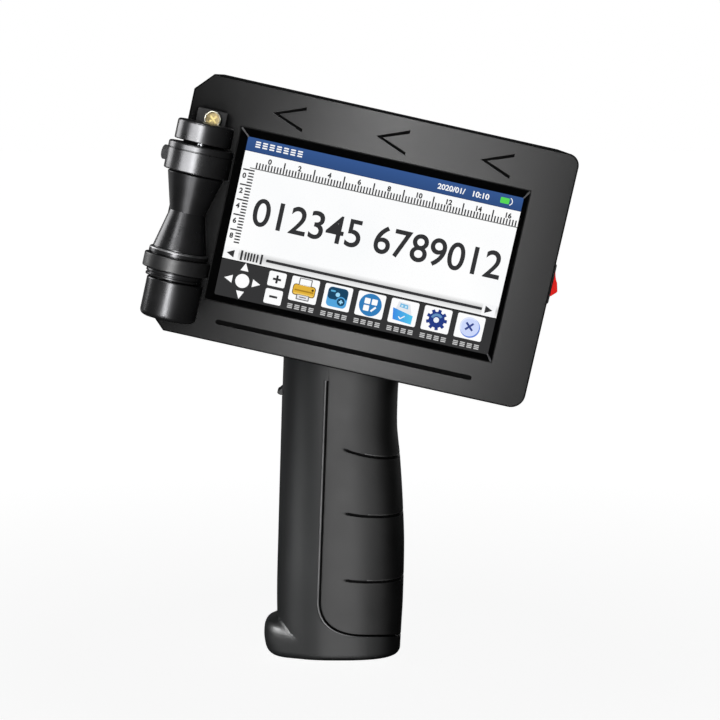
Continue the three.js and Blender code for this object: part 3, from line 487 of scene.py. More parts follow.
HEAD_OUTLINE = [(-RIGHT, TOP - 6.2), (-RIGHT, -TOP + 6.5), (-RIGHT + 6.8, -TOP),
                (RIGHT, -TOP, 5.0), (RIGHT, TOP, 4.0), (-RIGHT + 5.7, TOP)]
PART_LINE = -8.0                                # y where the two covers meet
WALL = 2.5
ENGRAVED = 0.5                                  # depth of the groove and the chevrons
CHEVRONS = (-37.4, -1.8, 34.3)
BRACKET_SCREWS = [(-57.5, 29.4), (-57.5, -30.0)]
COLUMNS = [(sx * 59.6, sz * 37.8) for sx, sz in ((-1, -1), (1, -1), (1, 1), (-1, 1))]
COLUMN_RADIUS = 4
PLATE_SCREWS = (-25, 24)
NECK_HOLE = ((-1.5, -9, -TOP - 1), (15.5, 9, -TOP + WALL + 1))


def inset_outline(points, margin):
    """A convex outline, drawn counterclockwise, with every side moved inwards."""
    count = len(points)
    out = []
    for i, point in enumerate(points):
        here = Vector(point[:2])
        before = (here - Vector(points[i - 1][:2])).normalized()
        after = (Vector(points[(i + 1) % count][:2]) - here).normalized()
        half = before.angle(after) / 2
        inward = (after - before).normalized()
        shift = inward * margin / math.cos(half)
        radius = point[2] if len(point) > 2 else 0
        out.append((here.x + shift.x, here.y + shift.y, max(radius - margin, 0)))
    return out


def cover_shell(near, far, round_end, edge):
    """A tray with the head's outline, rounded at one end and open at the other."""
    outline = fillet(HEAD_OUTLINE, steps=14)
    body = solid(slab(outline, near, far))
    bm = bmesh.new()
    bm.from_mesh(body.data)
    edges = [e for e in bm.edges if all(abs(v.co.y - round_end) < 1e-6 for v in e.verts)]
    bmesh.ops.bevel(bm, geom=edges, offset=edge, segments=6, profile=0.5, affect="EDGES")
    bm.to_mesh(body.data)
    bm.free()
    inside = fillet(inset_outline(HEAD_OUTLINE, WALL), steps=6)
    rear = far if round_end == near else near
    deep = round_end + (WALL if round_end == near else -WALL)
    past = rear + (1 if round_end == near else -1)
    cut(body, slab(inside, min(deep, past), max(deep, past)))
    return body


def chevron(x, z=35.8, length=9.6, rise=3.7, width=0.9):
    """A shallow V with its point towards the printing end."""
    return [(x - width, z), (x + length, z - rise - width / 2), (x + length, z - rise + width / 2),
            (x + width, z), (x + length, z + rise - width / 2), (x + length, z + rise + width / 2)]


def front_cover():
    near = PART_LINE - 0.15
    cover = cover_shell(FACE, near, FACE, 0.6)
    posts = [(-54.5, -20), (-54.5, 20), (59.8, -20), (59.8, 20)]
    join(cover, *[pin(x, z, FACE + 1, near, COLUMN_RADIUS, 28) for x, z in COLUMNS],
         *[pin(x, z, FACE + 1, -15.8, 1.8, 20) for x, z in posts])
    groove = slab(fillet(oblong(2.1, -37.3, 89, 1.5, 0.74), steps=8), FACE - 1, FACE + ENGRAVED)
    cut(cover, slab(oblong(*WINDOW), FACE - 1, FACE + WALL + 1), groove, block(*NECK_HOLE),
        *[slab(chevron(x), FACE - 1, FACE + ENGRAVED) for x in CHEVRONS],
        *[pin(x, z, -18, near + 1, 1.4, 24) for x, z in COLUMNS],
        *[pin(x, z, FACE - 1, FACE + WALL + 1, M3_HOLE, 32) for x, z in BRACKET_SCREWS])
    round_edges(cover, 0.16, 2)
    # painted shade: the floors of the groove and the chevrons take the near black second material
    for polygon in cover.data.polygons:
        if FACE + 0.3 < polygon.center.y < FACE + 0.6 and polygon.normal.y < -0.5:
            polygon.material_index = 1
    place(cover, "front_cover_shell", "front_cover", "shell_plastic", trims=["groove_shade"])


def rear_cover():
    """The deep half: cartridge bay, print slot and lever pocket, a step for the muzzle plate, and
    openings for the USB port, the switch and the charging jack."""
    near, back = PART_LINE + 0.15, -FACE
    cover = cover_shell(near, back, back, 1.2)
    join(cover, *[pin(x, z, near, back - 1, COLUMN_RADIUS, 28) for x, z in COLUMNS])
    bay = [block((-46.7, 20, -31.7), (27, 56, 27.7)),
           block((-132, 6, -15), (-46, 56, 11)),
           block((14, 16, -11.5), (48, 56, 7.5))]
    muzzle = block((-132, PART_LINE, -36.3), (-65.6, 26.8, 32.3))
    sockets = [block((61, -4.25, -8.6), (71, 4.25, 4.4)),
               slab(fillet(oblong(66, 22, 10, 4), steps=2), 1.1, 10.9),
               rod((61, 8, -25), (71, 8, -25), 4.3, 40)]
    screws = [tool for x, z in COLUMNS for tool in (
        pin(x, z, near - 1, back, M3_HOLE, 24), pin(x, z, back - 3.4, back + 1, M3_HEAD, 40))]
    plate_screws = [rod((-67, 11, z), (-62.5, 11, z), 1.3, 20) for z in PLATE_SCREWS]
    cut(cover, *bay, muzzle, block(*NECK_HOLE), *sockets, *screws, *plate_screws)
    round_edges(cover, 0.2, 2)
    place(cover, "rear_cover_shell", "rear_cover", "shell_plastic")


# ------------------------------------------------------------------ screws

GRIP_SCREWS = [(-17.3, 30, 10.0), (-17.1, 78, 9.8), (4, 5.2, 16)]     # x, z, and y of the head


def screw(name, node, head, way, radius, height, shank, thread=1.1, turn=0.0, slot="steel",
          drawing=HEAD, trims=()):
    """A low screw with a raised rim round a crossed recess, and a cut thread. Trims, if given,
    are the materials of its rim, painted lighter as a highlight, and of the flat inside the rim,
    painted darker as shade."""
    rim, dip, pitch = radius * 0.16, radius * 0.07, 0.5
    profile = fillet([(0, -dip), (radius - rim, -dip, dip * 0.5),
                      (radius - rim * 0.8, 0, dip * 0.5), (radius, 0, rim * 0.6),
                      (radius, -height), (thread * 1.02, -height)], closed=False, steps=4)
    for k in range(int(shank / pitch)):
        low = -height - pitch * k
        profile += [(thread, low - pitch * 0.25), (thread * 0.84, low - pitch * 0.5),
                    (thread * 0.84, low - pitch * 0.75), (thread, low - pitch)]
    profile.append((0, -height - shank - 0.6))
    obj = solid(turned(profile, 0, 0, 48))
    arm, slit, deep = radius * 0.58, radius * 0.13, height * 0.45
    cut(obj, block((-arm, -slit, -deep), (arm, slit, 1)),
        block((-slit, -arm, -deep), (slit, arm, 1)))
    # painted highlight on the raised rim, painted shade on the recessed flat
    for polygon in obj.data.polygons if trims else ():
        if polygon.center.z > -dip * 0.9:
            polygon.material_index = 1
        elif polygon.center.z > -dip * 1.1:
            polygon.material_index = 2
    aim = Vector(way).to_track_quat("Z", "Y").to_matrix().to_4x4()
    aim = Matrix.Translation(head) @ aim @ Matrix.Rotation(turn, 4, "Z")
    place(obj, name, node, slot, drawing @ aim, trims=trims)


def all_screws():
    for i, (x, z) in enumerate(COLUMNS):
        screw(f"cover_screw_{i + 1}", f"rear_cover_screw_{i + 1}", (x, 26.8, z), (0, 1, 0),
              2.7, 1.8, 30, turn=0.4 + 0.7 * i)
    for i, z in enumerate(PLATE_SCREWS):
        screw(f"plate_screw_{i + 1}", f"muzzle_screw_{i + 1}", (-66.9, 11, z), (-1, 0, 0),
              1.9, 0.9, 3.5, 0.95, turn=0.6 + i)
    x, z = BRACKET_SCREWS[0]
    screw("brass_bracket_screw", "bracket_screw_upper", (x, FACE - 5.4, z), (0, -1, 0),
          2.8, 1.8, 7, 1.4, math.radians(45), "brass_screw", trims=["brass_rim_highlight", "brass_flat"])
    for i, (x, z, y) in enumerate(GRIP_SCREWS):
        screw(f"handle_screw_{i + 1}", f"grip_screw_{i + 1}", (x, y, z), (0, 1, 0),
              2.4, 1.6, 14, turn=0.3 + 0.9 * i, drawing=GRIP)


# ------------------------------------------------------------------ screen

def screen_bezel():
    """A dark sloping frame round the screen, with a narrow mitre face in each corner; all but the
    lower left one are painted light grey as a highlight.
    """
    x, z, length, height = WINDOW
    bezel = solid(slab(oblong(x, z, length - 0.1, height - 0.1), FACE + 0.1, -24.4))
    join(bezel, slab(oblong(x, z, length + 5, height + 5), -25.2, -24.4))
    mouth, throat = (x, z, length - 0.3, height - 0.3), ACTIVE
    rings = []
    for size, y, mitre in ((mouth, FACE, 0.42), (throat, -24.3, 0.36)):
        ring = []
        for px, pz, _ in oblong(*size):
            sx, sz = math.copysign(1, px - size[0]), math.copysign(1, pz - size[1])
            pair = [(px - sx * mitre, y, pz), (px, y, pz - sz * mitre)]
            ring += pair if sx * sz < 0 else pair[::-1]
        rings.append(ring)
    combine(bezel, "DIFFERENCE", solid(skin(rings)))
    # painted highlight: the mitre faces, except in the lower left corner, take the light grey
    # second material
    for polygon in bezel.data.polygons:
        normal, middle = polygon.normal, polygon.center
        if abs(normal.x) > 0.2 and abs(normal.z) > 0.2 and (middle.x > x or middle.z > z):
            polygon.material_index = 1
    place(bezel, "bezel_frame", "screen_bezel", "gloss_black", angle=15, trims=["mitre"])


def touch_glass():
    x, z, length, height = WINDOW
    pane = solid(slab(fillet(oblong(x, z, length + 5, height + 5, 1.5)), -24.1, -23))
    round_edges(pane, 0.15, 2)
    place(pane, "touch_glass_pane", "touch_glass", "screen_glass")


WHITE = (1.0, 1.0, 1.0)
PAPER = (0.96, 0.96, 0.97)
INK = (0.035, 0.035, 0.037)
GREY = (0.16, 0.16, 0.16)
BAR = (0.036, 0.091, 0.262)
TRAY = (0.037, 0.037, 0.038)
LAYER = 0.03                                    # step between the picture's layers


def around(angle, radius):
    return radius * math.cos(angle), radius * math.sin(angle)


class Picture:
    """The lit picture, drawn in x and z as flat tinted shapes, one layer above another."""

    def __init__(self, surface):
        self.surface = surface
        self.middle = 0.0, 0.0                  # where a shape's own zero lies
        self.bm = bmesh.new()
        self.tint = self.bm.loops.layers.float_color.new("tint")

    def shape(self, points, colour, layer=1):
        """A filled outline; colour is one tint, or one for each point."""
        y = self.surface - LAYER * layer
        x, z = self.middle
        verts = [self.bm.verts.new((x + p[0], y, z + p[1])) for p in points]
        tints = colour if isinstance(colour[0], tuple) else [colour] * len(verts)
        own = dict(zip(verts, tints))
        face = self.bm.faces.new(verts)
        face.normal_update()
        if face.normal.y > 0:
            face.normal_flip()
        for loop in face.loops:
            loop[self.tint] = (*own[loop.vert], 1)
        if len(points) > 4:
            bmesh.ops.triangulate(self.bm, faces=[face])

    def box(self, x, z, length, height, colour, layer=1, radius=0.0):
        self.shape(fillet(oblong(x, z, length, height, radius), steps=4), colour, layer)

    def disc(self, x, z, radius, colour, layer=1, sides=40):
        points = (around(a, radius) for a in circle(sides))
        self.shape([(x + px, z + pz) for px, pz in points], colour, layer)

    def stroke(self, start, end, width, colour, layer=1):
        start, end = Vector(start), Vector(end)
        side = (end - start).normalized().orthogonal() * width / 2
        self.shape([start - side, end - side, end + side, start + side], colour, layer)

    def ring(self, x, z, radius, width, colour, layer=1, start=0.0, sweep=2 * math.pi, sides=32):
        """An arc of a band, with its middle line at the radius."""
        for k in range(sides):
            a, b = (start + sweep * step / sides for step in (k, k + 1))
            inner, outer = radius - width / 2, radius + width / 2
            corners = around(a, inner), around(a, outer), around(b, outer), around(b, inner)
            self.shape([(x + px, z + pz) for px, pz in corners], colour, layer)

    def digits(self, text, x, z, height, colour, layer=1, align="LEFT", stretch=1.0, weight=0.0):
        """Numerals standing on z, as filled outlines, thickened by the weight."""
        curve = bpy.data.curves.new("digits", "FONT")
        curve.body = text
        curve.align_x = align
        curve.size = height / 0.729
        curve.offset = weight
        curve.resolution_u = 6
        obj = bpy.data.objects.new("digits", curve)
        scene.collection.objects.link(obj)
        graph = bpy.context.evaluated_depsgraph_get()
        mesh = bpy.data.meshes.new_from_object(obj.evaluated_get(graph))
        for polygon in mesh.polygons:
            corners = [mesh.vertices[i].co for i in polygon.vertices]
            self.shape([(x + c.x * stretch, z + c.y) for c in corners], colour, layer)
        bpy.data.objects.remove(obj)
        bpy.data.curves.remove(curve)
        bpy.data.meshes.remove(mesh)

    def plus(self, x, z, size, width, colour, layer=1, turn=0.0, bars=2):
        for k in range(bars):
            way = Matrix.Rotation(turn + k * math.pi / 2, 2) @ Vector((size / 2, 0))
            self.stroke((x - way.x, z - way.y), (x + way.x, z + way.y), width, colour, layer)

    def arrow(self, x, z, size, turn, colour, layer=1):
        """A triangle that points along the turn's direction."""
        points = [Matrix.Rotation(turn, 2) @ Vector(p) * size
                  for p in ((0.55, 0), (-0.45, 0.5), (-0.45, -0.5))]
        self.shape([(x + p.x, z + p.y) for p in points], colour, layer)


def title_bar(picture, left, right, top):
    """A blue bar with plain blocks in place of a title, a date, a time and a battery."""
    middle, length, low = (left + right) / 2, right - left, 21.6
    deep, light = shaded(BAR, 0.86), shaded(BAR, 1.12)
    picture.shape([(left, low), (right, low), (right, top), (left, top)],
                  (deep, deep, light, light), 2)
    picture.box(middle, low - 0.12, length, 0.26, (0.02, 0.05, 0.16), 3)
    for k in range(7):
        for z in (24.9, 24.1, 23.3):
            picture.box(-41.2 + 2.42 * k, z, 1.7, 0.46, WHITE, 3, 0.15)
    picture.digits("2020/01/", 21.2, 22.95, 1.9, WHITE, 3, stretch=1.02, weight=0.07)
    picture.digits("10:10", 33.0, 22.95, 1.9, WHITE, 3, stretch=1.06, weight=0.07)
    picture.box(44.55, 23.9, 3.1, 2.0, (0.10, 0.68, 0.10), 3, 0.3)
    picture.ring(45.9, 23.9, 1.25, 0.3, PAPER, 4, -math.pi / 2.6, math.pi / 1.3, 12)


def rulers(picture, right):
    """Ticks and numbers along the top and down the left side."""
    base, pitch, zero = 16.0, 1.035, -36.05
    picture.box((right - 42.3) / 2, base - 0.1, right + 42.3, 0.34, GREY, 2)
    for k in range(-4, 84):
        tall = 4.0 if k % 10 == 5 else 2.1
        picture.box(zero + pitch * k, base + tall / 2, 0.48, tall, INK, 2)
    for number in range(0, 18, 2):
        picture.digits(str(number), zero + pitch * 5 * number, 18.4, 1.75, INK, 2, "CENTER",
                       weight=0.1)
    for k in range(-2, 23):
        wide = 4.0 if k % 5 == 3 else 1.9
        picture.box(-40.45 - wide / 2, 13.0 - 1.04 * k, wide, 0.48, INK, 2)
    for number in range(0, 10, 2):
        picture.digits(str(number), -43.6, 12.15 - 2.6 * number, 1.75, INK, 2, "CENTER",
                       weight=0.1)


def scroll_bar(picture, left, right):
    """A shaded band with an arrow at each end, a slider of bars and a long line."""
    light, shadow = (0.93, 0.93, 0.93), (0.62, 0.62, 0.62)
    picture.shape([(left, -13.4), (right, -13.4), (right, -11.6), (left, -11.6)],
                  (shadow, shadow, WHITE, WHITE), 2)
    picture.shape([(left, -15.9), (right, -15.9), (right, -13.4), (left, -13.4)],
                  (light, light, shadow, shadow), 2)
    picture.box(-42.35, -13.8, 5.0, 4.2, PAPER, 3, 0.2)
    picture.box(47.6, -13.8, 4.6, 4.2, PAPER, 3, 0.2)
    picture.arrow(-42.5, -13.8, 2.6, math.pi, INK, 4)
    picture.arrow(47.4, -13.7, 2.6, 0, INK, 4)
    for x in (-38.75, -31.85):
        picture.box(x, -13.75, 0.72, 3.4, INK, 4)
    for x in (-37.4, -36.4, -35.4, -34.4, -33.3):
        picture.box(x, -13.75, 0.6, 2.8, INK, 4)
    picture.box(7.5, -13.75, 75.4, 0.95, INK, 4, 0.3)


def direction_pad(picture):
    x, z, reach = -36.65, -22.3, 4.75
    picture.disc(x, z, 2.4, WHITE, 3)
    for turn in circle(4):
        dx, dz = around(turn, reach)
        picture.arrow(x + dx, z + dz, 2.75, turn, WHITE, 3)


BROWN, GOLD = (0.10, 0.055, 0.01), (0.78, 0.46, 0.05)
NAVY, SKY, PALE = (0.012, 0.06, 0.125), (0.09, 0.38, 0.72), (0.35, 0.72, 0.95)
FLAP = ((0.05, 0.26, 0.78),) * 2 + ((0.09, 0.55, 0.83),) * 2
GEAR = (0.02, 0.045, 0.23)
# each icon's marks about its middle: the way to draw it and what that takes
PRINTER_ICON = (
    ("box", 0, 2.5, 4.5, 3.0, GREY, 5, 0.2), ("box", 0, 2.45, 3.8, 2.5, WHITE, 6),
    ("box", 0, -0.2, 7.9, 3.9, BROWN, 6, 1.0), ("box", 0, -0.2, 7.4, 3.4, GOLD, 7, 0.8),
    ("box", 0, -0.35, 6.6, 0.5, (0.42, 0.22, 0.02), 8, 0.2),
    ("box", 0, -1.5, 6.8, 0.4, (0.9, 0.62, 0.16), 8, 0.2), ("disc", 2.9, 0.5, 0.42, BROWN, 8, 16),
    ("box", 0, -2.6, 4.5, 1.9, GREY, 8, 0.2), ("box", 0, -2.55, 3.8, 1.3, (0.8, 0.8, 0.84), 9),
    ("box", 0, -2.55, 2.4, 0.35, GREY, 10))
ADD_ICON = (
    ("box", 0, 0, 7.0, 6.8, SKY, 5, 1.4), ("box", 0, 1.25, 6.9, 4.2, NAVY, 6, 1.3),
    ("box", -1.8, 2.0, 1.7, 0.6, (0.12, 0.45, 0.7), 7, 0.3), ("disc", 0, 1.0, 0.75, PALE, 7, 20),
    ("disc", 1.5, -1.25, 1.75, SKY, 7), ("disc", 1.5, -1.25, 1.35, NAVY, 8),
    ("plus", 1.5, -1.25, 1.4, 0.5, PALE, 9))
LAYOUT_ICON = (
    ("disc", 0, 0, 3.9, (0.035, 0.21, 0.5), 5),
    *(("box", x, z, 1.95, 1.95, WHITE, 6, 0.25)
      for x, z in ((-1.25, 1.2), (1.25, 1.2), (-1.25, -1.25))),
    ("stroke", (0.5, -2.1), (2.0, -0.4), 0.62, WHITE, 6))
FOLDER_ICON = (
    ("shape", ((-2.2, 3.4), (1.7, 3.1), (2.9, -0.4), (-2.9, 0.8)), (0.80, 0.82, 0.86), 5),
    ("shape", ((-1.6, 2.9), (1.1, 2.7), (1.3, 1.3), (-1.7, 1.6)), (0.18, 0.5, 0.78), 6),
    *(("box", x, z, 0.7, 0.7, (0.6, 0.82, 0.95), 7, 0.1) for x, z in ((-0.9, 2.1), (0.4, 2.0))),
    ("shape", ((-3.8, 1.0), (-3.2, -3.0), (3.3, -3.6), (3.4, -0.6)), FLAP, 7),
    ("stroke", (-1.4, -1.7), (-0.7, -2.4), 0.34, WHITE, 8),
    ("stroke", (-0.8, -2.4), (0.7, -1.2), 0.34, WHITE, 8))
GEAR_ICON = (
    *(("stroke", around(turn, 1.8), around(turn, 3.6), 1.15, GEAR, 5) for turn in circle(9)),
    ("disc", 0, 0, 2.75, GEAR, 6),
    ("ring", 0, 0, 1.7, 0.9, (0.13, 0.28, 0.5), 7, math.radians(35), math.radians(130), 16),
    ("disc", -0.1, -0.1, 0.95, (0.85, 0.9, 0.96), 8, 24))
CANCEL_ICON = (
    ("disc", 0.15, -0.2, 3.45, (0.13, 0.24, 0.7), 5),
    ("disc", -0.1, 0.1, 3.3, (0.62, 0.70, 0.97), 6),
    ("ring", -0.1, 0.1, 3.0, 0.35, (0.78, 0.84, 1.0), 7, math.radians(60), math.radians(150), 20),
    ("plus", -0.15, 0.15, 3.5, 0.7, (0.035, 0.06, 0.25), 8, math.pi / 4))


def tool_bar(picture, left, right, low):
    """A dark tray with a pad of arrows, plus and minus keys, and six icons over plain blocks."""
    middle, length = (left + right) / 2, right - left
    picture.box(middle, (low - 15.9) / 2, length, -15.9 - low, TRAY, 2)
    picture.box(middle, -16.0, length, 0.3, (0.008, 0.008, 0.008), 3)
    direction_pad(picture)
    for z, bars in ((-19.2, 2), (-25.3, 1)):
        picture.box(-25.2, z, 6.0, 5.1, WHITE, 3, 0.6)
        picture.plus(-25.2, z, 2.8, 0.75, INK, 4, bars=bars)
    for k, marks in enumerate((PRINTER_ICON, ADD_ICON, LAYOUT_ICON, FOLDER_ICON, GEAR_ICON,
                               CANCEL_ICON)):
        picture.middle = -15.4 + 11.58 * k, -20.8
        picture.box(0, 0, 9.6, 8.4, WHITE, 4, 0.6)
        for way, *rest in marks:
            getattr(picture, way)(*rest)
        for step in range(4):
            for z in (-5.6, -6.2, -6.8):
                picture.box(-3.65 + 2.45 * step, z, 1.75, 0.36, (0.6, 0.6, 0.6), 4, 0.12)
    picture.middle = 0.0, 0.0


def display_picture():
    x, z, length, height = ACTIVE
    hidden = 0.8                                # how far the picture runs under the bezel
    left, right = x - length / 2 - hidden, x + length / 2 + hidden
    low, top = z - height / 2 - hidden, z + height / 2 + hidden
    picture = Picture(front_of("display_panel"))
    picture.box(x, z, right - left, top - low, WHITE, 1)
    title_bar(picture, left, right, top)
    rulers(picture, right)
    picture.digits("012345 6789012", -38.3, -2.8, 9.8, INK, 2, stretch=0.955, weight=0.14)
    scroll_bar(picture, left, right)
    tool_bar(picture, left, right, low)
    obj = bpy.data.objects.new("display_picture", bpy.data.meshes.new("display_picture"))
    scene.collection.objects.link(obj)
    picture.bm.to_mesh(obj.data)
    picture.bm.free()
    obj.data.transform(HEAD)
    obj.data.materials.append(display_looks())
    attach(obj, "printer")


# ------------------------------------------------------------------ guide roller

AXLE_HOLE = 1.8


def roller_bracket():
    x, z = BRACKET_SCREWS[0]
    foot = solid(block((-63, FACE - 3.3, 21), (-52.9, FACE - 0.3, 32.4)))
    join(foot, block((-62.6, ROLLER.y - 3, 22.6), (-54.6, FACE - 3, 26.6)))
    cut(foot, pin(x, z, FACE - 4, FACE, M3_HOLE), upright(AXLE_HOLE, 21, 28))
    round_edges(foot, 0.35, 3)
    place(foot, "roller_bracket_block", "roller_bracket", "black_rubber")


def roller_cap():
    low, high, radius = 21.3, 28.0, 9.45
    cap = solid(turned(fillet([(0, low), (radius, low, 0.4), (radius, high, 0.9), (0, high)],
                              closed=False)))
    cut(cap, block((-62.9, ROLLER.y - 3.3, 22.3), (-54.3, FACE, 26.9)),
        upright(AXLE_HOLE, low - 1, 26.9))
    place(cap, "roller_top_cap", "roller_cap", "anodised_black")


def beside_collar(reach):
    """A point on the lock screw's line, 15 degrees behind the printing direction."""
    behind = math.radians(15)
    return Vector((ROLLER.x - reach * math.cos(behind), ROLLER.y + reach * math.sin(behind), 15.7))


def roller_collar():
    """A clamp ring with a fine turned line near its top."""
    low, high, radius, fine = 11.0, 20.4, 10.9, 0.28
    line = high - 2.3
    collar = solid(turned(fillet([
        (AXLE_HOLE, low), (radius, low, 0.5), (radius, line - 0.18), (radius - fine, line),
        (radius - fine, line + 0.12), (radius, line + 0.3), (radius, high, 0.6),
        (AXLE_HOLE, high)])))
    cut(collar, rod(beside_collar(7.7), beside_collar(15), 2.8),
        rod(beside_collar(0), beside_collar(9), 1.5))
    place(collar, "roller_clamp_collar", "roller_collar", "anodised_black")


def lock_screw():
    """A knurled thumb screw with a hexagon socket."""
    radius, groove, bevel = 2.45, 0.16, 0.3
    outline = [(radius - (groove if k % 4 in (2, 3) else 0), a) for k, a in enumerate(circle(80))]
    head = solid(skin([
        [((size - shrink) * math.cos(a), (size - shrink) * math.sin(a), height)
         for size, a in outline]
        for height, shrink in ((8.0, bevel), (8.25, 0), (12.45, 0), (12.7, bevel))]))
    join(head, rod((0, 0, 1.9), (0, 0, 8.5), 1.1, 24))
    cut(head, rod((0, 0, 11.2), (0, 0, 13.5), 1.15, 6))
    aim = (beside_collar(1) - beside_collar(0)).to_track_quat("Z", "Y").to_matrix().to_4x4()
    place(head, "collar_lock_screw", "lock_screw", "black_rubber",
          HEAD @ Matrix.Translation(beside_collar(0)) @ aim, angle=30)


def guide_roller():
    """Two cones that meet at a waist, over a flange and a bed for the tyre. The flange's upper
    edge carries a painted highlight: a band of lighter metal."""
    roller = solid(turned(fillet([
        (4.2, -29.4), (5.3, -29.4, 0.3), (5.3, -24.7), (9.45, -24.7, 0.2), (9.45, -24.0, 0.1),
        (9.1, -23.85), (9.1, -23.5), (9.45, -23.3, 0.1), (9.45, -22.4, 0.2), (8.9, -22.4),
        (8.9, -17.0), (9.95, -17.0, 0.25), (9.95, -15.1, 0.7), (8.95, -15.0),
        (8.95, -14.7, 0.1), (6.0, -2.1, 0.15), (9.3, 10.3, 0.2), (9.0, 10.6, 0.1),
        (4.3, 10.6, 0.2), (4.3, 7.2), (AXLE_HOLE, 7.2), (AXLE_HOLE, -21.3), (4.2, -21.3)],
        steps=4), sides=128))
    # painted highlight: the flange's upper edge takes the second material, a lighter metal
    for polygon in roller.data.polygons:
        if -15.85 < polygon.center.z < -15.02:
            polygon.material_index = 1
    place(roller, "waisted_roller", "guide_roller", "anodised_black", body="roller", angle=30,
          trims=["highlight_edge"])


def roller_tyre():
    inner, outer, low, high = 9.2, 11.1, -22.1, -17.3
    tyre = solid(turned(fillet([(inner, low, 0.2), (outer, low, 0.45), (outer, high, 0.45),
                                (inner, high, 0.2)]), sides=128))
    place(tyre, "rubber_tyre", "roller_tyre", "black_rubber", body="roller", looks="roller_tyre")


def encoder_housing():
    """A cup round the roller's lower end, on an arm that a screw holds to the face."""
    x, low, high, radius = -57.8, -38.2, -25.2, 9.5
    cup = solid(turned(fillet([(0, low), (radius, low, 1.8), (radius, high, 0.5), (0, high)],
                              closed=False, steps=8), x))
    join(cup, block((x - 5, ROLLER.y + 6, low + 1.6), (x + 5, FACE - 0.3, high - 0.6)))
    cut(cup, upright(7.4, low - 1, high - 1.2), upright(5.9, low, high + 1),
        pin(*BRACKET_SCREWS[1], FACE - 6, FACE, M3_HOLE))
    round_edges(cup, 0.25, 2)
    place(cup, "encoder_cup", "encoder_housing", "anodised_black")


def encoder_cap():
    low, high, radius = -38.1, -36.2, 7.1
    plug = solid(turned(fillet([(0, low), (radius, low, 0.4), (radius, high, 0.2), (0, high)],
                               closed=False)))
    cut(plug, upright(AXLE_HOLE, -37.2, -30))
    cut(plug, block((ROLLER.x - 3.2, ROLLER.y - 0.5, low - 1),
                    (ROLLER.x + 3.2, ROLLER.y + 0.5, low + 0.45)))
    place(plug, "encoder_cup_cap", "encoder_cap", "black_rubber")


# ------------------------------------------------------------------ switch end

def power_switch():
    """A switch with a rounded bezel, a body behind the panel and two tabs."""
    z, front, length, width = -1.5, 68.65, 14.6, 10.5
    low, high, side = z - length / 2, z + length / 2, width / 2
    body = solid(block((RIGHT + 0.3, -side, low), (front, side, high)))
    round_edges(body, 0.9, 4)
    join(body, block((52, 1.4 - side, low + 1.4), (66.6, side - 1.4, high - 1.4)),
         *[block((46, -0.4, z + s - 1.6), (52.1, 0.4, z + s + 1.6)) for s in (-3.5, 3.5)])
    cut(body, block((59, 2 - side, low + 1.3), (70, side - 2, high - 1.5)))
    place(body, "switch_frame", "power_switch", "gloss_black")


def power_rocker():
    half = [(5.1, 0), (5.1, 3.2), (4.9, 3.6), (2.6, 4.9), (-1, 4.6), (-2.4, 2.4), (-2.6, 0)]
    rocker = solid(slab(half + [(x, -z) for x, z in reversed(half[1:-1])], -2.9, 2.9))
    round_edges(rocker, 0.3, 3, 30)
    cut(rocker, pin(13.6, 2.6, -4, 4, 9.0, 96))
    tip = Matrix.Translation((65.25, 0, -1.9)) @ Matrix.Rotation(math.radians(-15), 4, "Y")
    place(rocker, "rocker_paddle", "power_rocker", "red_rocker", HEAD @ tip, "rocker", angle=30)


# ------------------------------------------------------------------ grip

GRIP_FRONT = [(0, -21.5), (20, -21.8), (45, -21.2), (68, -20.5), (94, -19.7), (120, -19.0)]
GRIP_BACK = [(0, 22.0), (9, 22.4), (20, 23.0), (39, 23.4), (54, 22.9), (70, 21.9), (83, 20.8),
             (92, 21.0), (120, 23.0)]
GRIP_SIDE = [(0, 17.0), (12, 17.5), (40, 18.2), (75, 17.8), (120, 17.0)]
GRIP_BULB = [(-2, 2.9), (0, 3.2), (3.4, 4.4), (6.8, 4.8), (9.6, 4.6), (11.4, 3.9), (12.4, 2.9),
             (13.0, 1.7), (13.4, 0), (120, 0)]
ROUNDNESS = 2.6                                 # 2 is an ellipse, more is squarer
BASE_ROUND = 2.2
X_BACK = 22.9
SPLIT, SEAM = 1.0, 0.15                         # y between the two shells, half the gap there
STRAP_TOP, STRAP_LEFT, STRAP_LOW = -2.4, -6.0, 9.6
STRAP_BEND = (16.5, 12.0)                       # size of the strap's lower front corner
STRAP_DEPTH, SHELL_DEPTH = 2.8, 2.4
SIDE_DIP, DIP_SLOPE = 3.5, 0.235                # how rows dip round the strap's back corner
GROOVE_TOP = 93.0                               # above this the strap meets the shell closely
FINGER_GROOVES = ((28.0, 1.1), (51.0, 1.7), (71.3, 3.7))    # level, bow
# the bead's faces are painted lighter: a painted highlight along the groove
BEAD_WIDTH, BEAD_HEIGHT = 0.8, 0.12             # raised line along the shell's side of the groove


def curve_value(points, at):
    """A smooth curve through points, by a Hermite spline with limited slopes."""
    i = next(k for k in range(1, len(points)) if points[k][0] >= at or k == len(points) - 1)

    def slope(k):
        if k in (0, len(points) - 1):
            return 0.0
        (a, b), (c, d), (e, f) = points[k - 1], points[k], points[k + 1]
        before, after = (d - b) / (c - a), (f - d) / (e - c)
        return 0.0 if before * after <= 0 else 2 * before * after / (before + after)

    (x0, y0), (x1, y1) = points[i - 1], points[i]
    run = x1 - x0
    t = min(max((at - x0) / run, 0), 1)
    m0, m1 = slope(i - 1) * run, slope(i) * run
    return ((2 * t ** 3 - 3 * t ** 2 + 1) * y0 + (t ** 3 - 2 * t ** 2 + t) * m0
            + (3 * t ** 2 - 2 * t ** 3) * y1 + (t ** 3 - t ** 2) * m1)


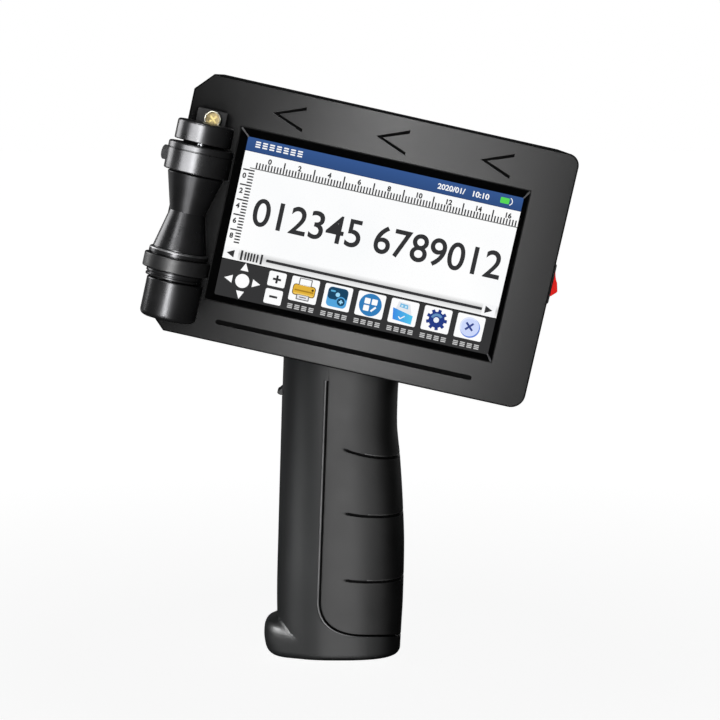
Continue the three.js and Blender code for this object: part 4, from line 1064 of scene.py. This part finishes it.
def section(z):
    """Middle, half length and half width of the grip at a height."""
    front, back, side = (curve_value(p, z) for p in (GRIP_FRONT, GRIP_BACK, GRIP_SIDE))
    if z < BASE_ROUND:
        trim = BASE_ROUND - math.sqrt(max(BASE_ROUND ** 2 - (BASE_ROUND - z) ** 2, 0))
        front, back, side = front + trim, back - trim, side - trim
    return (front + back) / 2, (back - front) / 2, side


def squared(value):
    """A cosine or sine bent to the grip's squarish roundness."""
    return math.copysign(abs(value) ** (2 / ROUNDNESS), value)


def grip_point(angle, z):
    """A point of the grip's surface: angle 0 is the back, pi the front, negative the near side."""
    middle, half, side = section(z)
    x = middle + half * squared(math.cos(angle))
    y = side * squared(math.sin(angle))
    forward = smoothstep(0.55, 0.97, -math.cos(angle))
    lowered = z + 6.0 * (1 - smoothstep(0.55, 1.0, -math.cos(angle)))
    bulb = curve_value(GRIP_BULB, lowered) * forward
    return Vector((x - bulb, y, z))


def head_plane(x):
    """Height of the head's lower face above a point of the grip's middle plane."""
    centre = HEAD_CENTRE / MM
    return centre.z + ((-TOP - 0.3) - (x - centre.x) * math.sin(TILT)) / math.cos(TILT)


def grip_height(angle, level):
    """Rows of equal level lie flat at the base, dip round the strap's back corner, bow along
    the finger grooves and follow the head's lower face at the top."""
    middle, half, side = section(level)
    ahead = X_BACK - (middle + half * squared(math.cos(angle)))
    rise = curve_value([(0, 0), (12, 0), *FINGER_GROOVES, (85, 3.9), (120, 3.9)], level)
    curved = rise * (ahead / 20) ** 2
    straight = math.tan(TILT) * ahead
    dip = 0.0
    if math.cos(angle) > 0:
        inwards = side * (1 - abs(squared(math.sin(angle))))
        dip = SIDE_DIP * math.tanh(DIP_SLOPE * inwards / SIDE_DIP)
    dip *= smoothstep(1.0, STRAP_LOW - 1, level) * (1 - smoothstep(STRAP_LOW + 2, 26, level))
    return level - dip + curved + (straight - curved) * smoothstep(78, 97, level)


def on_grip(angle, level):
    return grip_point(angle, grip_height(angle, level))


def grip_normal(angle, level):
    """The surface's outward direction."""
    here = on_grip(angle, level)
    across = on_grip(angle + 0.01, level) - here
    return across.cross(on_grip(angle, level + 0.1) - here).normalized()


def strap_edge(z, margin):
    """x of the strap's front boundary at a height, moved outwards by a margin."""
    left = STRAP_LEFT - margin
    low = STRAP_LOW - margin
    wide, tall = STRAP_BEND
    if z >= STRAP_LOW + tall:
        t = (z - STRAP_LOW - tall) / (120 - STRAP_LOW - tall)
        return left + (STRAP_TOP - STRAP_LEFT) * t
    down = math.sqrt(max(z - low, 0) / (tall + margin))
    t = 1 - min(down, 1)
    return left * (1 - t * t) + t * t * (STRAP_LEFT + wide)


def edge_angle(level, margin):
    """The angle at which a row of the grip crosses the strap's boundary."""
    angle = 1.7
    for _ in range(4):
        z = grip_height(angle, level)
        middle, half, _ = section(z)
        t = (strap_edge(z, margin) - middle) / half
        angle = math.acos(math.copysign(abs(t) ** (ROUNDNESS / 2), t))
    return angle


def groove_open(level):
    """1 along the open groove, 0 above its top end, where strap and shell meet closely."""
    return 1 - smoothstep(GROOVE_TOP - 0.25, GROOVE_TOP + 0.25, level)


def seam_angle(z, side):
    """The angle, near the back, of the seam's edge on one shell: side is -1 near, 1 far."""
    _, _, half_width = section(z)
    return side * math.asin(min((SPLIT + SEAM * side) / half_width, 1) ** (ROUNDNESS / 2))


def grid_cells(rows, columns, flipped=False, kept=lambda i, j: True):
    """Keys of the corners of each cell between rows and columns."""
    cells = [[(i, j), (i, j + 1), (i + 1, j + 1), (i + 1, j)]
             for i in range(rows - 1) for j in range(columns) if kept(i, j)]
    return [cell[::-1] for cell in cells] if flipped else cells


def thick_patch(points, cells, depth, lips, steps=4):
    """A closed solid under a patch of surface.

    points maps a key to a place, cells are lists of keys, and lips gives each key's edge
    radius: the edge is rolled over by that radius before it drops to the patch's depth. Its
    walls and inside take the second material."""
    bm = bmesh.new()
    verts = {key: bm.verts.new(point) for key, point in points.items()}
    for cell in cells:
        bm.faces.new([verts[key] for key in cell])
    bm.normal_update()
    normals = {key: vert.normal.copy() for key, vert in verts.items()}
    names = {vert: key for key, vert in verts.items()}
    rim = []
    outward = {}
    for edge in [e for e in bm.edges if len(e.link_faces) == 1]:
        loop = edge.link_loops[0]
        a, b = loop.vert, loop.link_loop_next.vert
        rim.append((names[a], names[b]))
        side = (b.co - a.co).cross(loop.face.normal).normalized()
        for vert in (a, b):
            outward[names[vert]] = outward.get(names[vert], Vector()) + side
    for key, side in outward.items():
        side -= normals[key] * side.dot(normals[key])
        side.normalize()
    rings = [{key: verts[key] for key in outward}]
    for k in range(1, steps + 1):
        turn = math.pi / 2 * k / steps
        rings.append({key: bm.verts.new(
            points[key] + outward[key] * lips(key) * math.sin(turn)
            - normals[key] * lips(key) * (1 - math.cos(turn))) for key in outward})
    rings.append({key: bm.verts.new(
        points[key] + outward[key] * lips(key) - normals[key] * depth) for key in outward})
    inner = {key: bm.verts.new(points[key] - normals[key] * (depth + 0.001)) for key in points}
    rings.append({key: inner[key] for key in outward})
    for k, (near, far) in enumerate(zip(rings, rings[1:])):
        for a, b in rim:
            wall = bm.faces.new((near[b], near[a], far[a], far[b]))
            wall.material_index = int(k >= steps - 1)
    for cell in cells:
        bm.faces.new([inner[key] for key in reversed(cell)]).material_index = 1
    return solid(bm)


def levels_between(low, high, step, extra=()):
    """Evenly spread levels, with finer ones around each of the extra levels."""
    count = max(int(round((high - low) / step)), 1)
    levels = {round(low + (high - low) * k / count, 4) for k in range(count + 1)}
    fine = (-1.1, -0.6, -0.45, -0.3, -0.15, 0, 0.15, 0.3, 0.45, 0.75, 1.1)
    for middle in extra:
        levels = {v for v in levels if abs(v - middle) > 1.15} | {middle + d for d in fine}
    return sorted(levels)


def corner_levels(low, tall):
    """Levels up the strap's round corner, closer together where its edge is nearly level."""
    return [low + tall * (k / 24) ** 2 for k in range(25)]


def finger_groove(angle, level):
    """Depth of the finger grooves, which end short of the strap's edge."""
    nearest = min(abs(level - middle) for middle, _ in FINGER_GROOVES)
    return 0.9 * (1 - smoothstep(0.1, 0.5, nearest)) * (1 - smoothstep(1.48, 1.55, abs(angle)))


def finger_line(angle, level):
    """Whether a place lies on the narrow edge just above a finger groove, which is painted lighter
    as a highlight.
    """
    return any(0.44 < level - middle < 0.76 for middle, _ in FINGER_GROOVES) and abs(angle) < 1.25


def strap():
    def margin(level):
        return -(0.04 + 0.16 * groove_open(level))

    def lips(key):
        return -margin(rows[key[0]]) if key[0] < len(rows) - 1 else 0.01

    low, bend = STRAP_LOW + 0.3, STRAP_BEND[1]
    closer = [level for level, _ in FINGER_GROOVES] + [GROOVE_TOP]
    rows = sorted(set(corner_levels(low, bend)[:-1]
                      + levels_between(low + bend, head_plane(X_BACK), 2.2, closer)))
    columns = 150
    points, dark, bright = {}, set(), set()
    for i, level in enumerate(rows):
        edge = edge_angle(level, margin(level))
        for j in range(columns + 1):
            angle = edge * (2 * j / columns - 1)
            groove = finger_groove(angle, level)
            points[i, j] = on_grip(angle, level)
            if groove:
                points[i, j] -= grip_normal(angle, level) * groove
            # painted shade: the finger grooves' floors take the near black second material
            if groove > 0.3:
                dark.add((i, j))
            # painted highlight: the narrow edge just above each finger groove takes the lighter
            # third material
            if finger_line(angle, level):
                bright.add((i, j))
    cells = grid_cells(len(rows), columns)
    # painted shade: the strap's walls below its rolled edge take the near black second material
    obj = thick_patch(points, cells, STRAP_DEPTH, lips)
    for polygon, cell in zip(obj.data.polygons, cells):
        if sum(key in dark for key in cell) >= 2:
            polygon.material_index = 1
        elif sum(key in bright for key in cell) >= 4:
            polygon.material_index = 2
    place(obj, "grip_back_strap", "grip_backstrap", "strap_rubber", GRIP, angle=60,
          trims=["groove_shade", "ridge"])


def shell_grid(side, margin, low):
    """Rows and columns of one grip shell: its front, and the band below the strap. The columns
    are wide on the plain front, fine along the bead, and wide again behind it."""
    bend = STRAP_BEND[1]
    rows = [BASE_ROUND * (1 - math.cos(math.pi / 2 * k / 5)) for k in range(6)]
    rows += levels_between(BASE_ROUND, low, 0.5)[1:]
    belt = len(rows) - 1
    rows += corner_levels(low, bend)[1:-1]
    rows += levels_between(low + bend, head_plane(X_BACK), 2.0, [GROOVE_TOP])
    plain, fine, back = 64, 8, 26
    front = plain + fine
    points = {}
    for i, level in enumerate(rows):
        start = math.pi - seam_angle(grip_height(math.pi, level), side)
        end = seam_angle(level, side)
        edge = edge_angle(max(level, low + 1e-4), margin(level))
        step = on_grip(side * (edge + 0.01), level) - on_grip(side * edge, level)
        band = BEAD_WIDTH * 0.01 / step.length
        raised = groove_open(level) * smoothstep(low + 1, low + 8, level)
        for j in range((front if i > belt else front + back) + 1):
            bead = 0.0
            if j <= plain:
                angle = start + (edge + band - start) * j / plain
            elif j <= front:
                angle = edge + band * (front - j) / fine
                bead = BEAD_HEIGHT * raised * math.sin(math.pi * (j - plain) / fine) ** 2
            else:
                angle = edge + (end - edge) * (j - front) / back
            points[i, j] = on_grip(side * angle, level)
            if bead:
                points[i, j] += grip_normal(side * angle, level) * bead
    cells = grid_cells(len(rows), front + back, side > 0, lambda i, j: j < front or i < belt)
    return rows, belt, front, points, cells


def grip_shell(side):
    def margin(level):
        return 0.05 + 0.75 * groove_open(level)

    def lips(key):
        i, j = key
        if i == len(rows) - 1:
            return 0.01
        if (j == front and i >= belt) or (i == belt and j > front):
            return 0.02 + 0.2 * groove_open(rows[i])
        return 0.12

    rows, belt, front, points, cells = shell_grid(side, margin, STRAP_LOW - 0.8)
    # painted shade: the shell's walls below its rolled edge take the near black second material
    shell = thick_patch(points, cells, SHELL_DEPTH, lips)
    # painted highlight: the bead beside the open groove takes the lighter third material
    for polygon, cell in zip(shell.data.polygons, cells):
        columns, levels = [j for _, j in cell], [rows[i] for i, _ in cell]
        beside_strap = min(levels) >= rows[belt] and groove_open(max(levels)) > 0.5
        if beside_strap and min(columns) >= front - 4 and max(columns) <= front:
            polygon.material_index = 2
    return shell


def core_patch(side):
    """The shell's wall under the strap, which the groove's floor shows; all of it takes the second
    material, near black, as painted shade.
    """
    levels = levels_between(STRAP_LOW - 3, head_plane(X_BACK) - 0.2, 4)
    columns, front, below = 36, 1.95, STRAP_DEPTH + 0.3
    points = {}
    for i, level in enumerate(levels):
        end = seam_angle(level, side)
        for j in range(columns + 1):
            angle = side * (front + (end - front) * j / columns)
            points[i, j] = on_grip(angle, level) - grip_normal(angle, level) * below
    core = thick_patch(points, grid_cells(len(levels), columns, side > 0), 1.6,
                       lambda key: 0.05, 1)
    # painted shade: the groove's floor is near black
    for polygon in core.data.polygons:
        polygon.material_index = 1
    return core


def base_plate(side):
    """The flat underside of one grip shell."""
    count, low = 60, 0.01
    end = seam_angle(0, side)
    start = math.pi - end
    rim = [grip_point(side * (start + (end - start) * k / count), low) for k in range(count + 1)]
    return solid(skin([[(p.x, p.y, height) for p in rim] for height in (low, SHELL_DEPTH)]))


def grip_shells():
    for side, name in ((-1, "near"), (1, "far")):
        shell = merge(grip_shell(side), core_patch(side), base_plate(side))
        cut(shell, block((-24, -4.4, 91.7), (-13.8, 4.4, 107)))
        if side > 0:
            cut(shell, *[pin(x, z, y - 1.9, 24, 2.7, 36) for x, z, y in GRIP_SCREWS])
        place(shell, f"grip_half_{name}", f"grip_shell_{name}", "grip_plastic", GRIP, angle=50,
              trims=["groove_shade", "ridge"])


def trigger():
    """A lever on its pin, with a nose at its lower tip and a pocket round the spring."""
    x, z, low, side, boss = -16.4, 104.2, 92.3, 4.0, 2.2
    arc = [(x + boss * math.cos(a), z + boss * math.sin(a))
           for a in (math.pi / 2 * k / 6 for k in range(7))]
    nose = [(-20.4, 94.5), (-21.1, 94.1), (-21.4, 93.5), (-21.2, 92.9), (-20.4, low + 0.2)]
    obj = solid(slab([*arc, (x - 2.6, z + 1.2), (-19.4, 95.4), *nose, (-19.2, low),
                      (x - 0.4, low), (x + 0.4, z - 3)], -side, side))
    cut(obj, pin(x, z, -9, 9, 1.3, 24))
    round_edges(obj, 0.35, 3)
    cut(obj, rod((-17.4, 0, 98.4), (-13, 0, 98.4), 1.9, 24))
    place(obj, "trigger_lever_piece", "trigger", "grip_plastic", GRIP, "trigger_lever")


# ------------------------------------------------------------------ carried-over CAD nodes

def keep_nodes():
    """CAD nodes whose shape is right: flat faces merged, edges eased, material renewed."""
    slots = {part["node"]: part["material_slot"] for part in frame["record"]["subparts"]}
    for name, obj in nodes.items():
        if obj.hide_render:
            continue
        obj.data.materials.clear()
        obj.data.materials.append(LOOKS[slots[name]])
        flat = obj.modifiers.new("flat", "DECIMATE")
        flat.decimate_type = "DISSOLVE"
        flat.angle_limit = math.radians(1)
        ease = obj.modifiers.new("ease", "BEVEL")
        ease.width = 0.18 * MM
        ease.segments = 2
        ease.limit_method = "ANGLE"
        ease.angle_limit = math.radians(40)
        shade(obj, 40)


# ------------------------------------------------------------------ stage

ROLLER_PIECES = ("roller_bracket_block", "roller_top_cap", "roller_clamp_collar",
                 "collar_lock_screw", "waisted_roller", "rubber_tyre", "encoder_cup",
                 "encoder_cup_cap", "encoder_board", "roller_axle", "roller_bearing_upper",
                 "roller_bearing_lower", "encoder_disc", "brass_bracket_screw")
HANDLE_PIECES = ("grip_half_near", "grip_half_far", "grip_back_strap", "trigger_lever_piece",
                 "handle_screw_1", "handle_screw_2", "handle_screw_3")


def camera():
    """In front and slightly above, looking down a little."""
    data = bpy.data.cameras.new("camera")
    data.lens, data.sensor_width = 120, 36
    data.clip_start = 0.05
    obj = bpy.data.objects.new("camera", data)
    obj.location = (0.0077, -0.8385, 0.2021)
    obj.rotation_euler = (math.radians(90 - 6.65), 0, 0)
    scene.collection.objects.link(obj)
    scene.camera = obj


def group_of(name, pieces):
    group = bpy.data.collections.new(name)
    for piece in pieces:
        group.objects.link(piece)
    return group


def area_light(name, at, towards, size, power, onto, shaders=(), roll=0.0, unseen=None):
    """A rectangular lamp on the pieces in onto. Where there are shaders, nothing else shades it,
    so that it may reach below the floor. Unseen is the kind of reflection it has no part in."""
    data = bpy.data.lights.new(name, "AREA")
    data.shape = "RECTANGLE"
    data.size, data.size_y = size
    data.energy = power
    obj = bpy.data.objects.new(name, data)
    obj.location = at
    aim = (Vector(at) - Vector(towards)).to_track_quat("Z", "Y")
    obj.rotation_euler = (aim.to_matrix() @ Matrix.Rotation(roll, 3, "Z")).to_euler()
    obj.visible_camera = False
    if unseen:
        setattr(obj, "visible_" + unseen, False)
    scene.collection.objects.link(obj)
    obj.light_linking.receiver_collection = group_of(name + "_onto", onto)
    if shaders:
        obj.light_linking.blocker_collection = group_of(name + "_shade", shaders)
    return obj


def bearing(centre, azimuth, elevation, distance):
    """A place seen from a centre: azimuth 0 is in front, negative to the left, 180 behind."""
    a, e = math.radians(azimuth), math.radians(elevation)
    way = Vector((math.sin(a) * math.cos(e), -math.cos(a) * math.cos(e), math.sin(e)))
    return Vector(centre) + way * distance


def lights():
    """Soft boxes and strips, each on the group of pieces whose highlight it makes."""
    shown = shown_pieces()

    def named(*names):
        return [piece for piece in shown if piece.name in names]

    roller, handle, glass = named(*ROLLER_PIECES), named(*HANDLE_PIECES), named("touch_glass_pane")
    head = [piece for piece in shown if piece not in roller + handle + glass]
    for name, x, width, power in (("face_strip", 0.0086, 0.03, 1.42),
                                  ("face_side_strip", 0.075, 0.04, 0.6)):
        area_light(name, (x, -0.628, 0.1078), (x, 0, 0.13), (width, 1.1), power, head, shown,
                   -TILT)
    hub = Vector((-0.05, -0.043, 0.15))
    for name, azimuth, elevation, size, power in (
            ("roller_strip", -13, -3, (0.14, 0.4), 2.5),
            ("roller_low", -18, -26, (0.11, 0.3), 2.3),
            ("roller_high", -29, 24, (0.16, 0.2), 0.6),
            ("roller_top", -14, 62, (0.25, 0.2), 1.2),
            ("roller_rim", -118, 22, (0.3, 0.3), 1.6)):
        area_light(name, bearing(hub, azimuth, elevation, 0.55), hub, size, power, roller, shown,
                   -TILT)
    area_light("collar_box", bearing(hub, -35, 7, 0.5), hub, (0.44, 0.2), 3.0,
               named("roller_top_cap", "roller_clamp_collar"))
    area_light("handle_strip", (0.006, -0.62, -0.04), (0.006, 0, 0.08), (0.1, 0.9), 3.4, handle,
               shown, unseen="diffuse")
    area_light("handle_side_strip", bearing((0, 0, 0), 33, 2, 0.7), (0, 0, 0.08), (0.16, 0.9),
               1.5, handle, shown, unseen="diffuse")
    area_light("handle_key", bearing((0, 0, 0.2), -42, 4, 1.5), (0, 0, 0.1), (0.2, 0.5), 8.0,
               handle, unseen="glossy")
    toe = Vector((-0.023, -0.008, 0.011))
    rim = area_light("handle_rim", bearing(toe, -58, 20, 0.35), toe - Vector((0, 0, 0.025)),
                     (0.1, 0.1), 0.1, handle, unseen="diffuse")
    rim.data.spread = math.radians(30)
    area_light("switch_key", (0.25, -0.5, 0.2), (0.074, 0, 0.13), (0.1, 0.1), 1.2,
               named("rocker_paddle", "switch_frame"))
    middle = Vector((0, 0, 0.05))
    for name, azimuth in (("back_left", -138), ("back_right", 138)):
        area_light(name, bearing(middle, azimuth, 0, 0.9), middle, (0.5, 1.3), 2.6, head, shown)
    area_light("handle_back", bearing((0, 0, 0.08), 172, 0, 0.9), (0, 0, 0.08), (0.3, 1.0), 3.0,
               handle, shown)
    screen = bpy.data.objects["display_picture"]
    screen.light_linking.receiver_collection = group_of("screen_onto", glass)
    for piece in (screen, *glass):
        piece.visible_glossy = False


def camera_only(tree, seen, lit, output):
    """Shows the camera one shader and every other ray another."""
    path = tree.nodes.new("ShaderNodeLightPath")
    mix = tree.nodes.new("ShaderNodeMixShader")
    tree.links.new(path.outputs["Is Camera Ray"], mix.inputs["Fac"])
    tree.links.new(lit, mix.inputs[1])
    tree.links.new(seen, mix.inputs[2])
    tree.links.new(mix.outputs["Shader"], output)


def floor():
    """A pale floor that the camera sees nearly white, with a painted shadow under the object: its
    glow is a little dimmer near the middle. To every other ray it is dark near the object and pale
    paper in the corners behind it."""
    bm = bmesh.new()
    bmesh.ops.create_grid(bm, x_segments=1, y_segments=1, size=6)
    obj = solid(bm, "floor")
    mat = Nodes("floor_looks")
    away = mat.add("VectorMath", {0: mat.place}, operation="LENGTH").outputs["Value"]
    mat.surface({
        "Base Color": (0.5, 0.5, 0.5), "Specular IOR Level": 0.0, "Emission Color": (1, 1, 1),
        # painted shadow: the glow the camera sees falls from 1.0 to 0.93 towards the object
        "Emission Strength": mat.spread(away, 0.93, 1.0, 0.1, 0.4),
        "Roughness": mat.spread(mat.noise(60, 2), 0.7, 0.8)})
    axes = mat.add("SeparateXYZ", {"Vector": mat.place}).outputs
    aside = mat.add("Math", {0: axes["X"]}, operation="ABSOLUTE").outputs["Value"]
    corner = mat.product(mat.spread(aside, 0, 0.35, 0.2, 0.5),
                         mat.spread(axes["Y"], 0, 1, 0.2, 0.5))
    dim = mat.add("BsdfDiffuse", {"Color": (0.1, 0.1, 0.1)}).outputs["BSDF"]
    paper = mat.add("Emission", {"Strength": corner}).outputs["Emission"]
    camera_only(mat.tree, mat.shader.outputs["BSDF"],
                mat.add("AddShader", {0: dim, 1: paper}).outputs["Shader"],
                mat.tree.nodes["Material Output"].inputs["Surface"])
    obj.data.materials.append(mat.material)
    obj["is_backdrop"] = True


def world():
    """White behind everything for the camera, and a dim even sky for the light itself."""
    data = bpy.data.worlds.new("world")
    data.use_nodes = True
    tree = data.node_tree
    tree.nodes.clear()
    output = tree.nodes.new("ShaderNodeOutputWorld").inputs["Surface"]
    seen, lit = (tree.nodes.new("ShaderNodeBackground") for _ in range(2))
    seen.inputs["Color"].default_value = (1, 1, 1, 1)
    lit.inputs["Color"].default_value = (0.92, 0.96, 1.0, 1)
    lit.inputs["Strength"].default_value = 0.015
    camera_only(tree, seen.outputs["Background"], lit.outputs["Background"], output)
    scene.world = data


scene.view_settings.view_transform = "Standard"
for step in (camera, front_cover, rear_cover, all_screws, screen_bezel, touch_glass,
             display_picture, roller_bracket, roller_cap, roller_collar, lock_screw,
             guide_roller, roller_tyre, encoder_housing, encoder_cap, power_switch,
             power_rocker, strap, grip_shells, trigger, keep_nodes, lights, floor, world):
    step()
